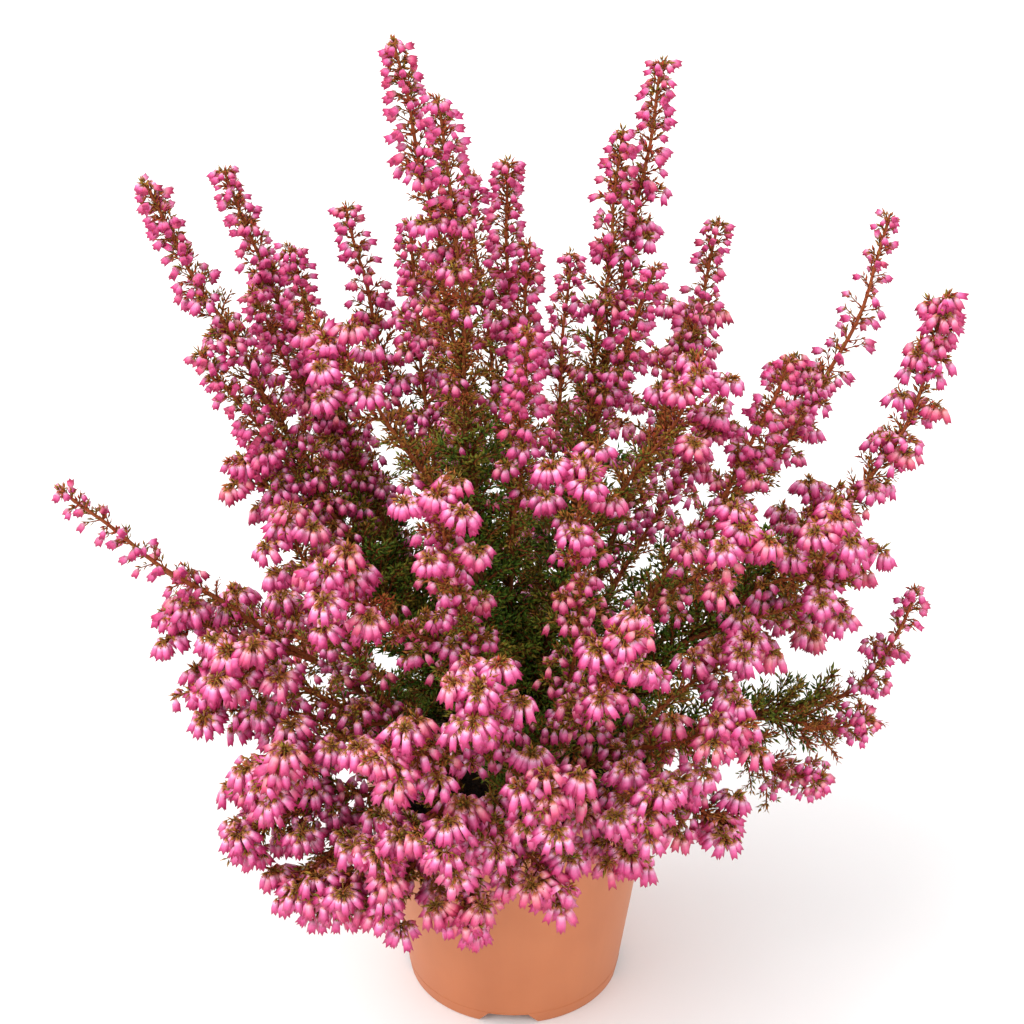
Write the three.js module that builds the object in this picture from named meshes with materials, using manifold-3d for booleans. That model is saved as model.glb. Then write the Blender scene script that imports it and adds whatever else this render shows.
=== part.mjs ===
// A Cape heath in bloom, growing in a round plastic nursery pot.
// Millimetres, +Z up. The origin is the middle of the pot's foot, and -Y is the side that faces the viewer.
import * as THREE from "three";
import { mergeVertices } from "three/addons/utils/BufferGeometryUtils.js";
import Module from "manifold-3d";

const wasm = await Module();
wasm.setup();

// Pot: a 10.5 cm nursery pot
const FOOT_RADIUS = 37.5;
const FOOT_WIDTH = 4;
const FOOT_BAND_HEIGHT = 4.8;
const FOOT_BAND_STEP = 1;
const RIM_RADIUS = 52.5;
const RIM_HEIGHT = 14;
const RIM_STEP = 2.3;
const POT_HEIGHT = 92;
const WALL = 1.4;
const FLOOR_UNDERSIDE = 5;
const WALL_TOP_RADIUS = 48.6;
const POT_SIDES = 28;
const NOTCH_FOOT_WIDTH = 21.5;
const NOTCH_TOP_WIDTH = 13.8;
const NOTCH_HEIGHT = 4.4;
const NOTCH_TURN = -3;
const DRAIN_RADIUS = 4.5;
const DRAIN_CIRCLE = 20;
const DRAIN_SIDES = 6;

// Compost
const SOIL_TOP = 82;
const GAP = 0.3;
const HOLE_SIDES = 3;

// Woody stems
const BURIED = 10;
const COLLAR = 1.5;
const STEM_SIDES = 3;
const WOOD_RADIUS = 1.7;
const TIP_RADIUS = 0.75;
const FORKS = [0.62, 0.74, 0.5];
const BEND_STEP = 27;
const CLOSE_BEND_STEP = 11;
const CURVED = 0.4;
const FOOT_CIRCLE = 35;
const FOOT_SPACING = 7;
const FOOT_LIMIT = 40;

// Whorls of flowers and needles
const WHORL_HEIGHT = 1.7;
const WHORL_TURN = THREE.MathUtils.degToRad(60);
const HUB_PEAK = 1.1;
const FOLIAGE_RADIUS = 3.6;
const FOLIAGE_RAMP = 55;
const BARE_FOOT = 10;
const LEAFY_TWIG = 9;
const SLIM = 2;
const NEEDLE_LENGTH = 5;
const CLEARANCE = 0.45;
const BEND_ALLOWANCE = 0.4;
const NOD = 0.45;
const ATTEMPTS = 7;

const COLOURS = {
  pot: 0xc9794f,
  soil: 0x2e2119,
  heath: 0xc94f8c,
};

// Each habit is a way that a stem flowers, measured from its tip down: bells straight on the stem as far as
// spire, then umbels on twigs as far as leafy, then leafy twigs alone. taper is where its foliage reaches its
// full width, pitch how far apart its whorls are, umbels how many are on each, and twig how long their twigs
// are. bell and mouth are a bell's length and the radius of its mouth, and hub that of the knot above it.
const HABITS = {
  spire: {
    spire: 36, leafy: 72, taper: 90, pitch: 12,
    umbels: 2, twig: [4, 8], bell: 7.4, mouth: 2.3, hub: 1.7,
  },
  wand: {
    spire: 56, leafy: 56, taper: 110, pitch: 12,
    umbels: 2, twig: [5, 8], bell: 6.6, mouth: 2, hub: 1.5,
  },
  plume: {
    spire: 8, leafy: 80, taper: 70, pitch: 13,
    umbels: 2, twig: [4, 7], bell: 9, mouth: 2.8, hub: 2,
  },
  bush: {
    spire: 0, leafy: 32, taper: 40, pitch: 14,
    umbels: 3, twig: [8, 13], bell: 10.2, mouth: 3.3, hub: 2.3,
  },
  sprig: {
    spire: 24, leafy: 40, taper: 110, pitch: 12,
    umbels: 2, twig: [5, 9], bell: 6.6, mouth: 2, hub: 1.5,
  },
  leafy: {
    spire: 0, leafy: 26, taper: 45, pitch: 12,
    umbels: 1, twig: [4, 6], bell: 7, mouth: 2.1, hub: 1.6,
  },
};

// Each row is one woody stem: the tip of its leader and then its forks, with x, y and z of the tip and the
// habit. rise says how upright the tip is: 0 follows the stem's own lean, 1 points straight up and below 0
// hangs down. A fork may have a rise of its own. set says how upright the stem starts, and sweep how long its
// curves are.
const STEMS = [
  // tall stems in the middle
  { tips: [[-35, -10, 343, "spire"], [-22, -20, 329, "spire"], [-56, -40, 262, "bush"]], rise: -0.1, set: 2 },
  {
    tips: [[-2, 20, 296, "spire"], [-14, 54, 280, "spire"], [4, -38, 264, "spire"], [4, 2, 276, "spire"]],
    rise: 0.8,
  },
  {
    tips: [[45, 20, 328, "spire"], [33, 8, 310, "spire"], [56, -32, 248, "bush"], [43, -8, 272, "spire"]],
    rise: 0.3,
  },
  // the ring of spires round them
  { tips: [[-54, 34, 276, "spire"], [-33, 22, 275, "spire"]], rise: 0.3, set: 2 },
  {
    tips: [[-94, 46, 284, "spire"], [-71, 16, 269, "spire"], [-84, 22, 252, "spire"]],
    rise: 0.1, set: 0.4,
  },
  {
    tips: [[-113, 4, 295, "spire"], [-98, -8, 244, "spire"], [-86, -4, 204, "bush"]],
    rise: 0.1, set: 0.4,
  },
  { tips: [[66, 36, 270, "spire"], [62, 68, 228, "bush"]], rise: 0.6 },
  { tips: [[84, -22, 248, "spire"], [68, -62, 212, "bush"]], rise: 0.5 },
  { tips: [[119, 24, 276, "wand"], [98, 46, 214, "bush"]], rise: 0.7, set: 0.4, sweep: 0.4 },
  {
    tips: [[134, -6, 262, "plume"], [98, -46, 206, "bush"], [106, -32, 190, "bush"]],
    rise: 0.8, set: 0.12, sweep: 0.48,
  },
  // the front of the bush
  { tips: [[-22, -84, 234, "bush"], [-56, -80, 206, "bush"]], rise: 0.3 },
  { tips: [[32, -98, 194, "bush"], [20, -68, 236, "bush"]], rise: 0.3 },
  { tips: [[-10, -114, 188, "bush"], [-38, -108, 160, "bush"]], rise: 0.1 },
  { tips: [[10, -112, 150, "bush"], [-22, -110, 128, "bush"]], rise: 0 },
  { tips: [[66, -84, 154, "bush"], [40, -102, 136, "bush"], [74, -50, 166, "bush"]], rise: 0 },
  { tips: [[-16, -86, 84, "bush"], [12, -96, 104, "bush"]], rise: -0.3, set: 2.4, sweep: 0.52 },
  // the left side
  { tips: [[-139, -38, 211, "wand"], [-110, -26, 160, "bush"]], rise: 0.1, set: 0.3 },
  { tips: [[-88, -62, 168, "bush"], [-74, -82, 138, "bush"], [-72, -30, 196, "bush"]], rise: 0.1 },
  { tips: [[-101, -38, 139, "bush"], [-86, -56, 112, "bush"]], rise: 0 },
  {
    tips: [[-42, -83, 84, "bush"], [-42, -90, 112, "bush"], [-58, -76, 84, "bush"]],
    rise: -0.15, set: 2.4, sweep: 0.52,
  },
  {
    tips: [[-72, -65, 78, "bush"], [-86, -44, 104, "bush"], [-88, -60, 94, "bush"]],
    rise: -0.3, set: 2.4, sweep: 0.52,
  },
  // the right side
  {
    tips: [[131, -14, 162, "sprig"], [116, -32, 124, "leafy", 0.3], [100, -44, 108, "leafy", 0.2]],
    rise: 0.8, set: 0.05, sweep: 0.55,
  },
  { tips: [[36, -82, 106, "bush"], [70, -52, 96, "bush"]], rise: -0.3, set: 2.4, sweep: 0.5 },
  // the back, from the right round to the left
  { tips: [[112, 56, 160, "bush"], [106, 26, 128, "bush"]], rise: 0.1 },
  { tips: [[72, 90, 176, "bush"]], rise: 0 },
  { tips: [[20, 92, 237, "spire"], [34, 112, 176, "bush"]], rise: 0.5 },
  { tips: [[8, 112, 126, "bush"], [30, 96, 92, "bush"], [-28, 100, 104, "bush"]], rise: -0.2 },
  { tips: [[-30, 84, 236, "bush"], [-24, 112, 176, "bush"]], rise: 0.3 },
  { tips: [[-78, 78, 226, "spire"], [-66, 98, 152, "bush"]], rise: 0.3, set: 0.7 },
  { tips: [[-102, 46, 122, "bush"], [-84, 70, 106, "bush"]], rise: -0.1, set: 1.6 },
];

// A repeatable draw from 0 to 1 for a place on the plant
function draw(...place) {
  let h = 0x9e3779b9;
  for (const n of place) {
    h = Math.imul(h ^ (n + 0x7f4a7c15), 0x85ebca6b);
    h ^= h >>> 13;
    h = Math.imul(h, 0xc2b2ae35);
    h ^= h >>> 16;
  }
  return (h >>> 0) / 4294967296;
}

const lerp = THREE.MathUtils.lerp;
const UP = new THREE.Vector3(0, 0, 1);

// Directions across a stem at a point: side lies level, and face makes a right-handed set with the tangent
function across(tangent, level) {
  const side = level.clone().addScaledVector(tangent, -tangent.dot(level)).normalize();
  return { side, face: tangent.clone().cross(side), tangent };
}

function around({ side, face }, angle) {
  return side.clone().multiplyScalar(Math.cos(angle)).addScaledVector(face, Math.sin(angle));
}

// The line of one stem or fork, from where it starts to its tip
function makeAxis(start, lead, tip, { rise, set = 1.1, sweep = 0.33 }, habit) {
  const span = tip.clone().sub(start);
  const length = span.length();
  const chord = span.clone().normalize();
  const outward = new THREE.Vector3(span.x, span.y, 0).normalize();
  const lean = Math.atan2(Math.hypot(span.x, span.y), span.z);
  const tipLean = rise >= 0 ? lean * (1 - rise) : lean - rise * Math.PI * 0.35;
  const tipDirection = outward.clone().multiplyScalar(Math.sin(tipLean));
  tipDirection.addScaledVector(UP, Math.cos(tipLean));
  const startDirection = lead ?? UP.clone().multiplyScalar(set).add(chord).normalize();
  const curve = new THREE.CubicBezierCurve3(
    start,
    start.clone().addScaledVector(startDirection, length * sweep),
    tip.clone().addScaledVector(tipDirection, -length * sweep),
    tip,
  );
  const level = new THREE.Vector3(-outward.y, outward.x, 0);
  return { curve, length: curve.getLength(), level, sweep, habit: HABITS[habit] };
}

// A point, the directions across and the wood's radius at a distance from the tip
function stationOf(axis, fromTip) {
  const u = 1 - Math.min(Math.max(fromTip / axis.length, 0), 1);
  const point = axis.curve.getPointAt(u);
  const fill = Math.min(fromTip / axis.habit.taper, (axis.length - fromTip - BARE_FOOT) / FOLIAGE_RAMP, 1);
  const radius = Math.max(lerp(axis.footRadius, TIP_RADIUS, u), FOLIAGE_RADIUS * fill);
  return { point, radius, ...across(axis.curve.getTangentAt(u), axis.level) };
}

// Where each stem comes out of the compost: further out the more it leans, and a little apart from the others
function placeFeet() {
  const feet = STEMS.map(({ tips: [[x, y, z]] }) => {
    const lean = Math.atan2(Math.hypot(x, y), z - SOIL_TOP);
    const reach = FOOT_CIRCLE * Math.min(1, lean / (Math.PI * 0.56)) ** 0.65;
    const heading = Math.atan2(y, x);
    return new THREE.Vector3(reach * Math.cos(heading), reach * Math.sin(heading), 0);
  });
  for (let round = 0; round < 60; round++)
    feet.forEach((p, i) => {
      for (const q of feet.slice(i + 1)) {
        const apart = p.clone().sub(q);
        const short = FOOT_SPACING - apart.length();
        if (short <= 0) continue;
        apart.setLength(short / 2);
        p.add(apart);
        q.sub(apart);
      }
      p.clampLength(0, FOOT_LIMIT);
    });
  return feet.map((p) => p.setZ(SOIL_TOP + COLLAR));
}

function plantAxes() {
  const axes = [];
  const feet = placeFeet();
  STEMS.forEach((row, stem) => {
    row.tips.forEach(([x, y, z, habit, rise = row.rise], branch) => {
      const tip = new THREE.Vector3(x, y, z);
      let axis;
      if (branch === 0) {
        axis = makeAxis(feet[stem], null, tip, row, habit);
        axis.footRadius = WOOD_RADIUS;
      } else {
        const leader = axes.find((a) => a.stem === stem);
        const forkAt = leader.length * FORKS[branch - 1];
        const fork = stationOf(leader, forkAt);
        const lead = tip.clone().sub(fork.point).normalize().add(fork.tangent).normalize();
        axis = makeAxis(fork.point, lead, tip, { ...row, rise }, habit);
        axis.footRadius = fork.radius * 0.6;
      }
      axes.push({ ...axis, stem, branch });
    });
  });
  return axes;
}

// Room that is already taken, as capsules in a grid of cells
const CELL = 16;
const STRETCH = 6;
const taken = new Map();

function cellsOf(a, b, reach) {
  const low = a.clone().min(b).subScalar(reach).divideScalar(CELL).floor();
  const high = a.clone().max(b).addScalar(reach).divideScalar(CELL).floor();
  const keys = [];
  for (let x = low.x; x <= high.x; x++)
    for (let y = low.y; y <= high.y; y++)
      for (let z = low.z; z <= high.z; z++) keys.push(`${x},${y},${z}`);
  return keys;
}

function take(capsule) {
  for (const key of cellsOf(capsule.a, capsule.b, capsule.radius)) {
    if (!taken.has(key)) taken.set(key, []);
    taken.get(key).push(capsule);
  }
}

// The shortest distance between two straight stretches
function distance(p, q) {
  const d1 = p.b.clone().sub(p.a);
  const d2 = q.b.clone().sub(q.a);
  const r = p.a.clone().sub(q.a);
  const a = Math.max(d1.dot(d1), 1e-9);
  const e = Math.max(d2.dot(d2), 1e-9);
  const b = d1.dot(d2);
  const c = d1.dot(r);
  const f = d2.dot(r);
  const denominator = a * e - b * b;
  const clamp = (v) => Math.min(Math.max(v, 0), 1);
  let s = denominator > 1e-9 ? clamp((b * f - c * e) / denominator) : 0;
  let t = (b * s + f) / e;
  if (t < 0 || t > 1) {
    t = clamp(t);
    s = clamp((b * t - c) / a);
  }
  return p.a.clone().addScaledVector(d1, s).distanceTo(q.a.clone().addScaledVector(d2, t));
}

function hasRoom(capsule, skip) {
  for (const key of cellsOf(capsule.a, capsule.b, capsule.radius + CLEARANCE))
    for (const other of taken.get(key) ?? [])
      if (!skip(other) && distance(capsule, other) < capsule.radius + other.radius + CLEARANCE) return false;
  return true;
}

// The pot keeps a ring of room of its own
function clearOfPot(point, radius) {
  const r = Math.hypot(point.x, point.y);
  const low = point.z - radius;
  const outside = r - radius > RIM_RADIUS + 1 && low > 0;
  const inside = r + radius < WALL_TOP_RADIUS - WALL - 1 && low > SOIL_TOP;
  return low > POT_HEIGHT + GAP || outside || inside;
}

// Bells nod, but never fold back into the face that they grow from
function bellDirection(outward, normal) {
  const nodded = outward.clone().addScaledVector(UP, -NOD).normalize();
  return nodded.dot(normal) > 0.35 ? nodded : outward.clone().add(normal).normalize();
}

// A corner of the face between two corners of a whorl, on its lower edge
function faceCorner(station, angle) {
  const corner = around(station, angle - Math.PI / STEM_SIDES).multiplyScalar(station.radius);
  return corner.add(station.point).addScaledVector(station.tangent, -WHORL_HEIGHT / 2);
}

function faceMiddle(station, angle) {
  const reach = station.radius * Math.cos(Math.PI / STEM_SIDES);
  return station.point.clone().addScaledVector(around(station, angle), reach);
}

// The bells round a hub, one on each of its faces. towards leads from the hub's middle to its first corner.
function planHub(hub, direction, towards, sides, { bell, mouth, radius, spread }) {
  const side = towards.clone().addScaledVector(direction, -towards.dot(direction)).normalize();
  const set = { side, face: direction.clone().cross(side) };
  const bells = Array.from({ length: sides }, (_, i) => {
    const out = around(set, ((i + 0.5) * 2 * Math.PI) / sides);
    const slope = radius * Math.cos(Math.PI / sides);
    const normal = out.clone().multiplyScalar(HUB_PEAK).addScaledVector(direction, slope).normalize();
    return bellDirection(out.addScaledVector(direction, spread).normalize(), normal);
  });
  const capsules = bells.map((d) => ({
    a: hub.clone().addScaledVector(d, bell * 0.55),
    b: hub.clone().addScaledVector(d, bell),
    radius: mouth,
  }));
  return { hub, direction, bells, bell, mouth, radius, capsules };
}

function hubShape({ bell, mouth, hub }, size, spread) {
  return { bell: bell * size, mouth: mouth * size, radius: hub * size, spread };
}

const clearAt = (capsule) => clearOfPot(capsule.b, capsule.radius + 0.6);

// An umbel at the end of a twig: four bells round the twig's end
function planUmbel(axis, station, angle, s, place) {
  const { habit } = axis;
  const own = { stem: axis.stem, axis: axis.index, station: station.index };
  const along = THREE.MathUtils.clamp((s - habit.spire) / Math.max(habit.leafy - habit.spire, 1), 0, 1);
  const root = faceMiddle(station, angle);
  const towards = faceCorner(station, angle).sub(root);
  for (let attempt = 0; attempt < ATTEMPTS; attempt++) {
    const shrink = 1 - attempt * 0.07;
    const length = lerp(...habit.twig, along) * (0.85 + 0.3 * draw(...place, 1)) * shrink;
    const lift = 0.75 + 0.5 * draw(...place, 2, attempt);
    const sway = (draw(...place, 3, attempt) - 0.5) * 0.9;
    const direction = around(station, angle + sway).addScaledVector(station.tangent, lift).normalize();
    const hub = root.clone().addScaledVector(direction, length + station.radius);
    const size = shrink * (0.94 + 0.12 * draw(...place, 5));
    const shape = hubShape(habit, size, 0.5);
    const plan = planHub(hub, direction, towards, 4, shape);
    const twig = { a: root.clone().addScaledVector(direction, length * 0.4), b: hub, radius: shape.radius };
    if (!hasRoom(twig, (o) => o.axis === own.axis && o.wood)) continue;
    if (!plan.capsules.every((c) => clearAt(c) && hasRoom(c, () => false))) continue;
    for (const c of [twig, ...plan.capsules]) take({ ...c, ...own });
    return { kind: "umbel", ...plan };
  }
  return null;
}

// The bells that crown a stem
function planTip(axis) {
  const { habit } = axis;
  const end = stationOf(axis, 0);
  const size = habit.spire > 0 ? 0.8 : 1;
  const shape = hubShape(habit, size, 0.7);
  const turn = axis.stations[0].turn;
  axis.tip = planHub(end.point, end.tangent, around(end, turn), STEM_SIDES, shape);
  for (const c of axis.tip.capsules) take({ ...c, stem: axis.stem, axis: axis.index, station: -1 });
}

// Two bells straight on the stem, side by side
function planPair(axis, station, angle, s, place) {
  const { habit } = axis;
  const taper = lerp(0.72, 1, Math.min(s / 40, 1));
  const own = { stem: axis.stem, axis: axis.index, station: station.index };
  const bells = [-1, 1].map((hand) => {
    const lift = (hand < 0 ? -0.25 : 0.75) + 0.3 * draw(...place, hand + 7);
    const out = around(station, angle + hand * 0.5).addScaledVector(station.tangent, lift).normalize();
    return bellDirection(out, around(station, angle));
  });
  const bell = habit.bell * taper;
  const mouth = habit.mouth * taper;
  const root = faceMiddle(station, angle);
  const capsules = bells.map((d) => ({
    a: root.clone().addScaledVector(d, bell * 0.4),
    b: root.clone().addScaledVector(d, bell),
    radius: mouth,
  }));
  const sibling = (o) => o.axis === own.axis && (o.wood || o.station === own.station);
  if (!capsules.every((c) => clearAt(c) && hasRoom(c, sibling))) return null;
  for (const c of capsules) take({ ...c, ...own });
  return { kind: "pair", bells, bell, mouth };
}

function planNeedle(axis, station, angle, place) {
  const lift = 0.5 + 0.6 * draw(...place, 9);
  const direction = around(station, angle).addScaledVector(station.tangent, lift).normalize();
  const root = faceMiddle(station, angle);
  const tip = root.clone().addScaledVector(direction, NEEDLE_LENGTH);
  const capsule = { a: root.clone().lerp(tip, 0.4), b: tip, radius: 0.35 };
  if (!hasRoom(capsule, (o) => o.axis === axis.index && o.wood) || !clearOfPot(tip, 1)) return null;
  take({ ...capsule, stem: axis.stem, axis: axis.index, station: station.index });
  return { kind: "needle", tip };
}

// Leafy twigs that stand out of the six faces between two bends, or null where there is no room
function planTwigs(axis, low, high, place) {
  const a = ringAt(low.point, low, low.radius, STEM_SIDES, low.turn);
  const b = ringAt(high.point, high, high.radius, STEM_SIDES, high.turn);
  const faces = a.flatMap((_, i) => {
    const j = (i + 1) % STEM_SIDES;
    return [[a[i], a[j], b[i]], [a[j], b[j], b[i]]];
  });
  const heart = low.point.clone().lerp(high.point, 0.5);
  const slim = Math.min(low.radius, high.radius) < SLIM;
  return faces.map((corners, k) => {
    if (slim && k % 2) return null;
    const root = corners[0].clone().add(corners[1]).add(corners[2]).divideScalar(3);
    const out = root.clone().sub(heart);
    out.addScaledVector(high.tangent, -out.dot(high.tangent)).normalize();
    const direction = out.addScaledVector(high.tangent, 0.4 + 0.5 * draw(...place, k, 13)).normalize();
    const tip = root.clone().addScaledVector(direction, LEAFY_TWIG * (0.7 + 0.5 * draw(...place, k, 17)));
    const capsule = { a: root.clone().lerp(tip, 0.35), b: tip, radius: 0.9 };
    const base = { a: root, b: root.clone().lerp(tip, 0.7), radius: low.radius * 0.5 };
    if (!clearAt(capsule) || !hasRoom(capsule, (o) => o.axis === axis.index && o.wood)) return null;
    if (!hasRoom(base, (o) => o.axis === axis.index)) return null;
    take({ ...capsule, stem: axis.stem, axis: axis.index });
    return tip;
  });
}

// Whorls down each stem as far as its umbels go, and bends from there down to its foot
function placeStations(axis) {
  const { spire, leafy, pitch } = axis.habit;
  axis.stations = [];
  let s = pitch * 0.75;
  for (let k = 0; s < Math.min(leafy, axis.length - 14); k++) {
    const turn = -k * WHORL_TURN + (draw(axis.index, k, 11) - 0.5) * 0.5;
    axis.stations.push({ ...stationOf(axis, s), s, turn });
    s += pitch * (s < spire ? 1 : 1.25);
  }
  const lowest = axis.stations.at(-1);
  const step = axis.sweep > CURVED ? CLOSE_BEND_STEP : BEND_STEP;
  const count = Math.max(2, Math.round((axis.length - lowest.s) / step));
  axis.bends = Array.from({ length: count }, (_, i) => ({
    ...stationOf(axis, lerp(lowest.s, axis.length, (i + 1) / count)),
    turn: lowest.turn - (i + 1) * WHORL_TURN,
  }));
  const foot = axis.bends.at(-1);
  if (axis.branch === 0) Object.assign(foot, across(foot.tangent.clone().add(UP).normalize(), axis.level));
}

// What grows on one face of a whorl
function planFace(axis, station, i) {
  const angle = station.turn + ((i + 0.5) * 2 * Math.PI) / STEM_SIDES;
  const place = [axis.index, station.index, i];
  const { spire, umbels } = axis.habit;
  let growth = null;
  if (station.s < spire) growth = planPair(axis, station, angle, station.s, place);
  else if (i < umbels) growth = planUmbel(axis, station, angle, station.s, place);
  return growth ?? planNeedle(axis, station, angle, place);
}

// Everything that grows on the stems: the outermost whorls choose their room first, and the leafy twigs last
function planGrowth(axes) {
  axes.forEach((axis, index) => {
    axis.index = index;
    for (let s = 0; s < axis.length; s += STRETCH) {
      const a = stationOf(axis, s);
      const b = stationOf(axis, Math.min(s + STRETCH, axis.length));
      const radius = Math.max(a.radius, b.radius) + BEND_ALLOWANCE;
      take({ a: a.point, b: b.point, radius, stem: axis.stem, axis: index, wood: true });
    }
    placeStations(axis);
  });
  axes.forEach(planTip);
  const most = Math.max(...axes.map((a) => a.stations.length));
  for (let k = 0; k < most; k++)
    for (const axis of axes) {
      const station = axis.stations[k];
      if (!station) continue;
      station.index = k;
      station.grows = Array.from({ length: STEM_SIDES }, (_, i) => planFace(axis, station, i));
    }
  for (const axis of axes)
    for (let i = 1; i < axis.bends.length; i++)
      axis.bends[i - 1].below = planTwigs(axis, axis.bends[i], axis.bends[i - 1], [axis.index, i]);
}

function ringAt(centre, set, radius, sides, turn) {
  return Array.from({ length: sides }, (_, i) =>
    centre.clone().addScaledVector(around(set, turn + (i * 2 * Math.PI) / sides), radius),
  );
}

// One closed skin that grows face by face: points, and faces that list them anticlockwise from outside
class Skin {
  points = [];
  triangles = [];

  point(p) {
    this.points.push(p);
    return this.points.length - 1;
  }

  ring(...where) {
    return ringAt(...where).map((p) => this.point(p));
  }

  face(...corners) {
    for (let i = 1; i < corners.length - 1; i++) this.triangles.push(corners[0], corners[i], corners[i + 1]);
  }

  // The wall between two rings, the second further out, with a peak on each face that has a tip
  wall(low, high, tips = []) {
    low.forEach((_, i) => {
      const j = (i + 1) % low.length;
      this.peak([low[i], low[j], high[i]], tips[2 * i]);
      this.peak([low[j], high[j], high[i]], tips[2 * i + 1]);
    });
  }

  peak(ring, tip) {
    if (!tip) return this.face(...ring);
    const top = this.point(tip);
    ring.forEach((_, i) => this.face(ring[i], ring[(i + 1) % ring.length], top));
  }

  // A ring round a new centre that keeps its corners in line with those of the face it grows from
  continued(root, centre, direction, radius) {
    const middle = new THREE.Vector3();
    for (const i of root) middle.addScaledVector(this.points[i], 1 / root.length);
    const first = this.points[root[0]].clone().sub(middle);
    const side = first.addScaledVector(direction, -first.dot(direction)).normalize();
    return this.ring(centre, { side, face: direction.clone().cross(side) }, radius, root.length, 0);
  }

  bell(root, from, direction, length, mouth) {
    const end = this.continued(root, from.clone().addScaledVector(direction, length), direction, mouth);
    this.wall(root, end);
    this.face(...end);
  }

  geometry() {
    const made = new THREE.BufferGeometry();
    const numbers = this.points.flatMap((p) => p.toArray());
    made.setAttribute("position", new THREE.Float32BufferAttribute(numbers, 3));
    made.setIndex(this.triangles);
    return made;
  }
}

function growHub(skin, root, { hub, direction, bells, bell, mouth, radius }) {
  const ring = skin.continued(root, hub, direction, radius);
  skin.wall(root, ring);
  const pole = skin.point(hub.clone().addScaledVector(direction, HUB_PEAK));
  ring.forEach((corner, i) => {
    skin.bell([corner, ring[(i + 1) % ring.length], pole], hub, bells[i], bell, mouth);
  });
}

function growPair(skin, [a, b, c, d], from, { bells, bell, mouth }) {
  skin.bell([a, b, d], from, bells[0], bell, mouth);
  skin.bell([b, c, d], from, bells[1], bell, mouth);
}

function growFace(skin, quad, station, i) {
  const growth = station.grows[i];
  const angle = station.turn + ((i + 0.5) * 2 * Math.PI) / STEM_SIDES;
  if (!growth) skin.face(...quad);
  else if (growth.kind === "needle") skin.peak(quad, growth.tip);
  else if (growth.kind === "pair") growPair(skin, quad, faceMiddle(station, angle), growth);
  else growHub(skin, quad, growth);
}

// The skin of one stem or fork with all that grows on it, from its root up
function growAxis(axis) {
  const skin = new Skin();
  const root = axis.bends.at(-1);
  const buried = root.point.clone().addScaledVector(UP, -BURIED - COLLAR);
  let ring = axis.branch === 0
    ? skin.ring(buried, across(UP, axis.level), root.radius, STEM_SIDES, root.turn)
    : skin.ring(root.point, root, root.radius, STEM_SIDES, root.turn);
  skin.face(...[...ring].reverse());
  for (const bend of [...axis.bends].reverse()) {
    if (bend === root && axis.branch > 0) continue;
    const next = skin.ring(bend.point, bend, bend.radius, STEM_SIDES, bend.turn);
    skin.wall(ring, next, bend.below);
    ring = next;
  }
  for (const station of [...axis.stations].reverse()) {
    const [low, high] = [-0.5, 0.5].map((side) => {
      const level = station.point.clone().addScaledVector(station.tangent, side * WHORL_HEIGHT);
      return skin.ring(level, station, station.radius, STEM_SIDES, station.turn);
    });
    skin.wall(ring, low);
    low.forEach((corner, i) => {
      const j = (i + 1) % STEM_SIDES;
      growFace(skin, [corner, low[j], high[j], high[i]], station, i);
    });
    ring = high;
  }
  growHub(skin, ring, axis.tip);
  return skin;
}

function solidOf(geometry) {
  const bare = geometry.clone();
  bare.deleteAttribute("normal");
  bare.deleteAttribute("uv");
  const merged = mergeVertices(bare, 1e-4);
  return new wasm.Manifold(
    new wasm.Mesh({
      numProp: 3,
      vertProperties: merged.attributes.position.array,
      triVerts: new Uint32Array(merged.index.array),
    }),
  );
}

function geometryOf(solid) {
  const { vertProperties, triVerts } = solid.getMesh();
  const made = new THREE.BufferGeometry();
  made.setAttribute("position", new THREE.BufferAttribute(vertProperties, 3));
  made.setIndex(new THREE.BufferAttribute(triVerts, 1));
  made.computeVertexNormals();
  return made;
}

function meshOf(name, geometry, color, roughness) {
  const mesh = new THREE.Mesh(geometry, new THREE.MeshStandardMaterial({ color, roughness, metalness: 0 }));
  mesh.name = name;
  return mesh;
}

function lathe(profile, sides) {
  const made = new THREE.LatheGeometry(profile.map(([r, z]) => new THREE.Vector2(r, z)), sides);
  return made.rotateX(Math.PI / 2);
}

// Inner radius of the pot's wall at a height
function innerRadius(z) {
  const step = POT_HEIGHT - RIM_HEIGHT;
  return z <= step
    ? lerp(FOOT_RADIUS, WALL_TOP_RADIUS, z / step) - WALL
    : lerp(WALL_TOP_RADIUS + RIM_STEP, RIM_RADIUS, (z - step) / RIM_HEIGHT) - WALL;
}

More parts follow.
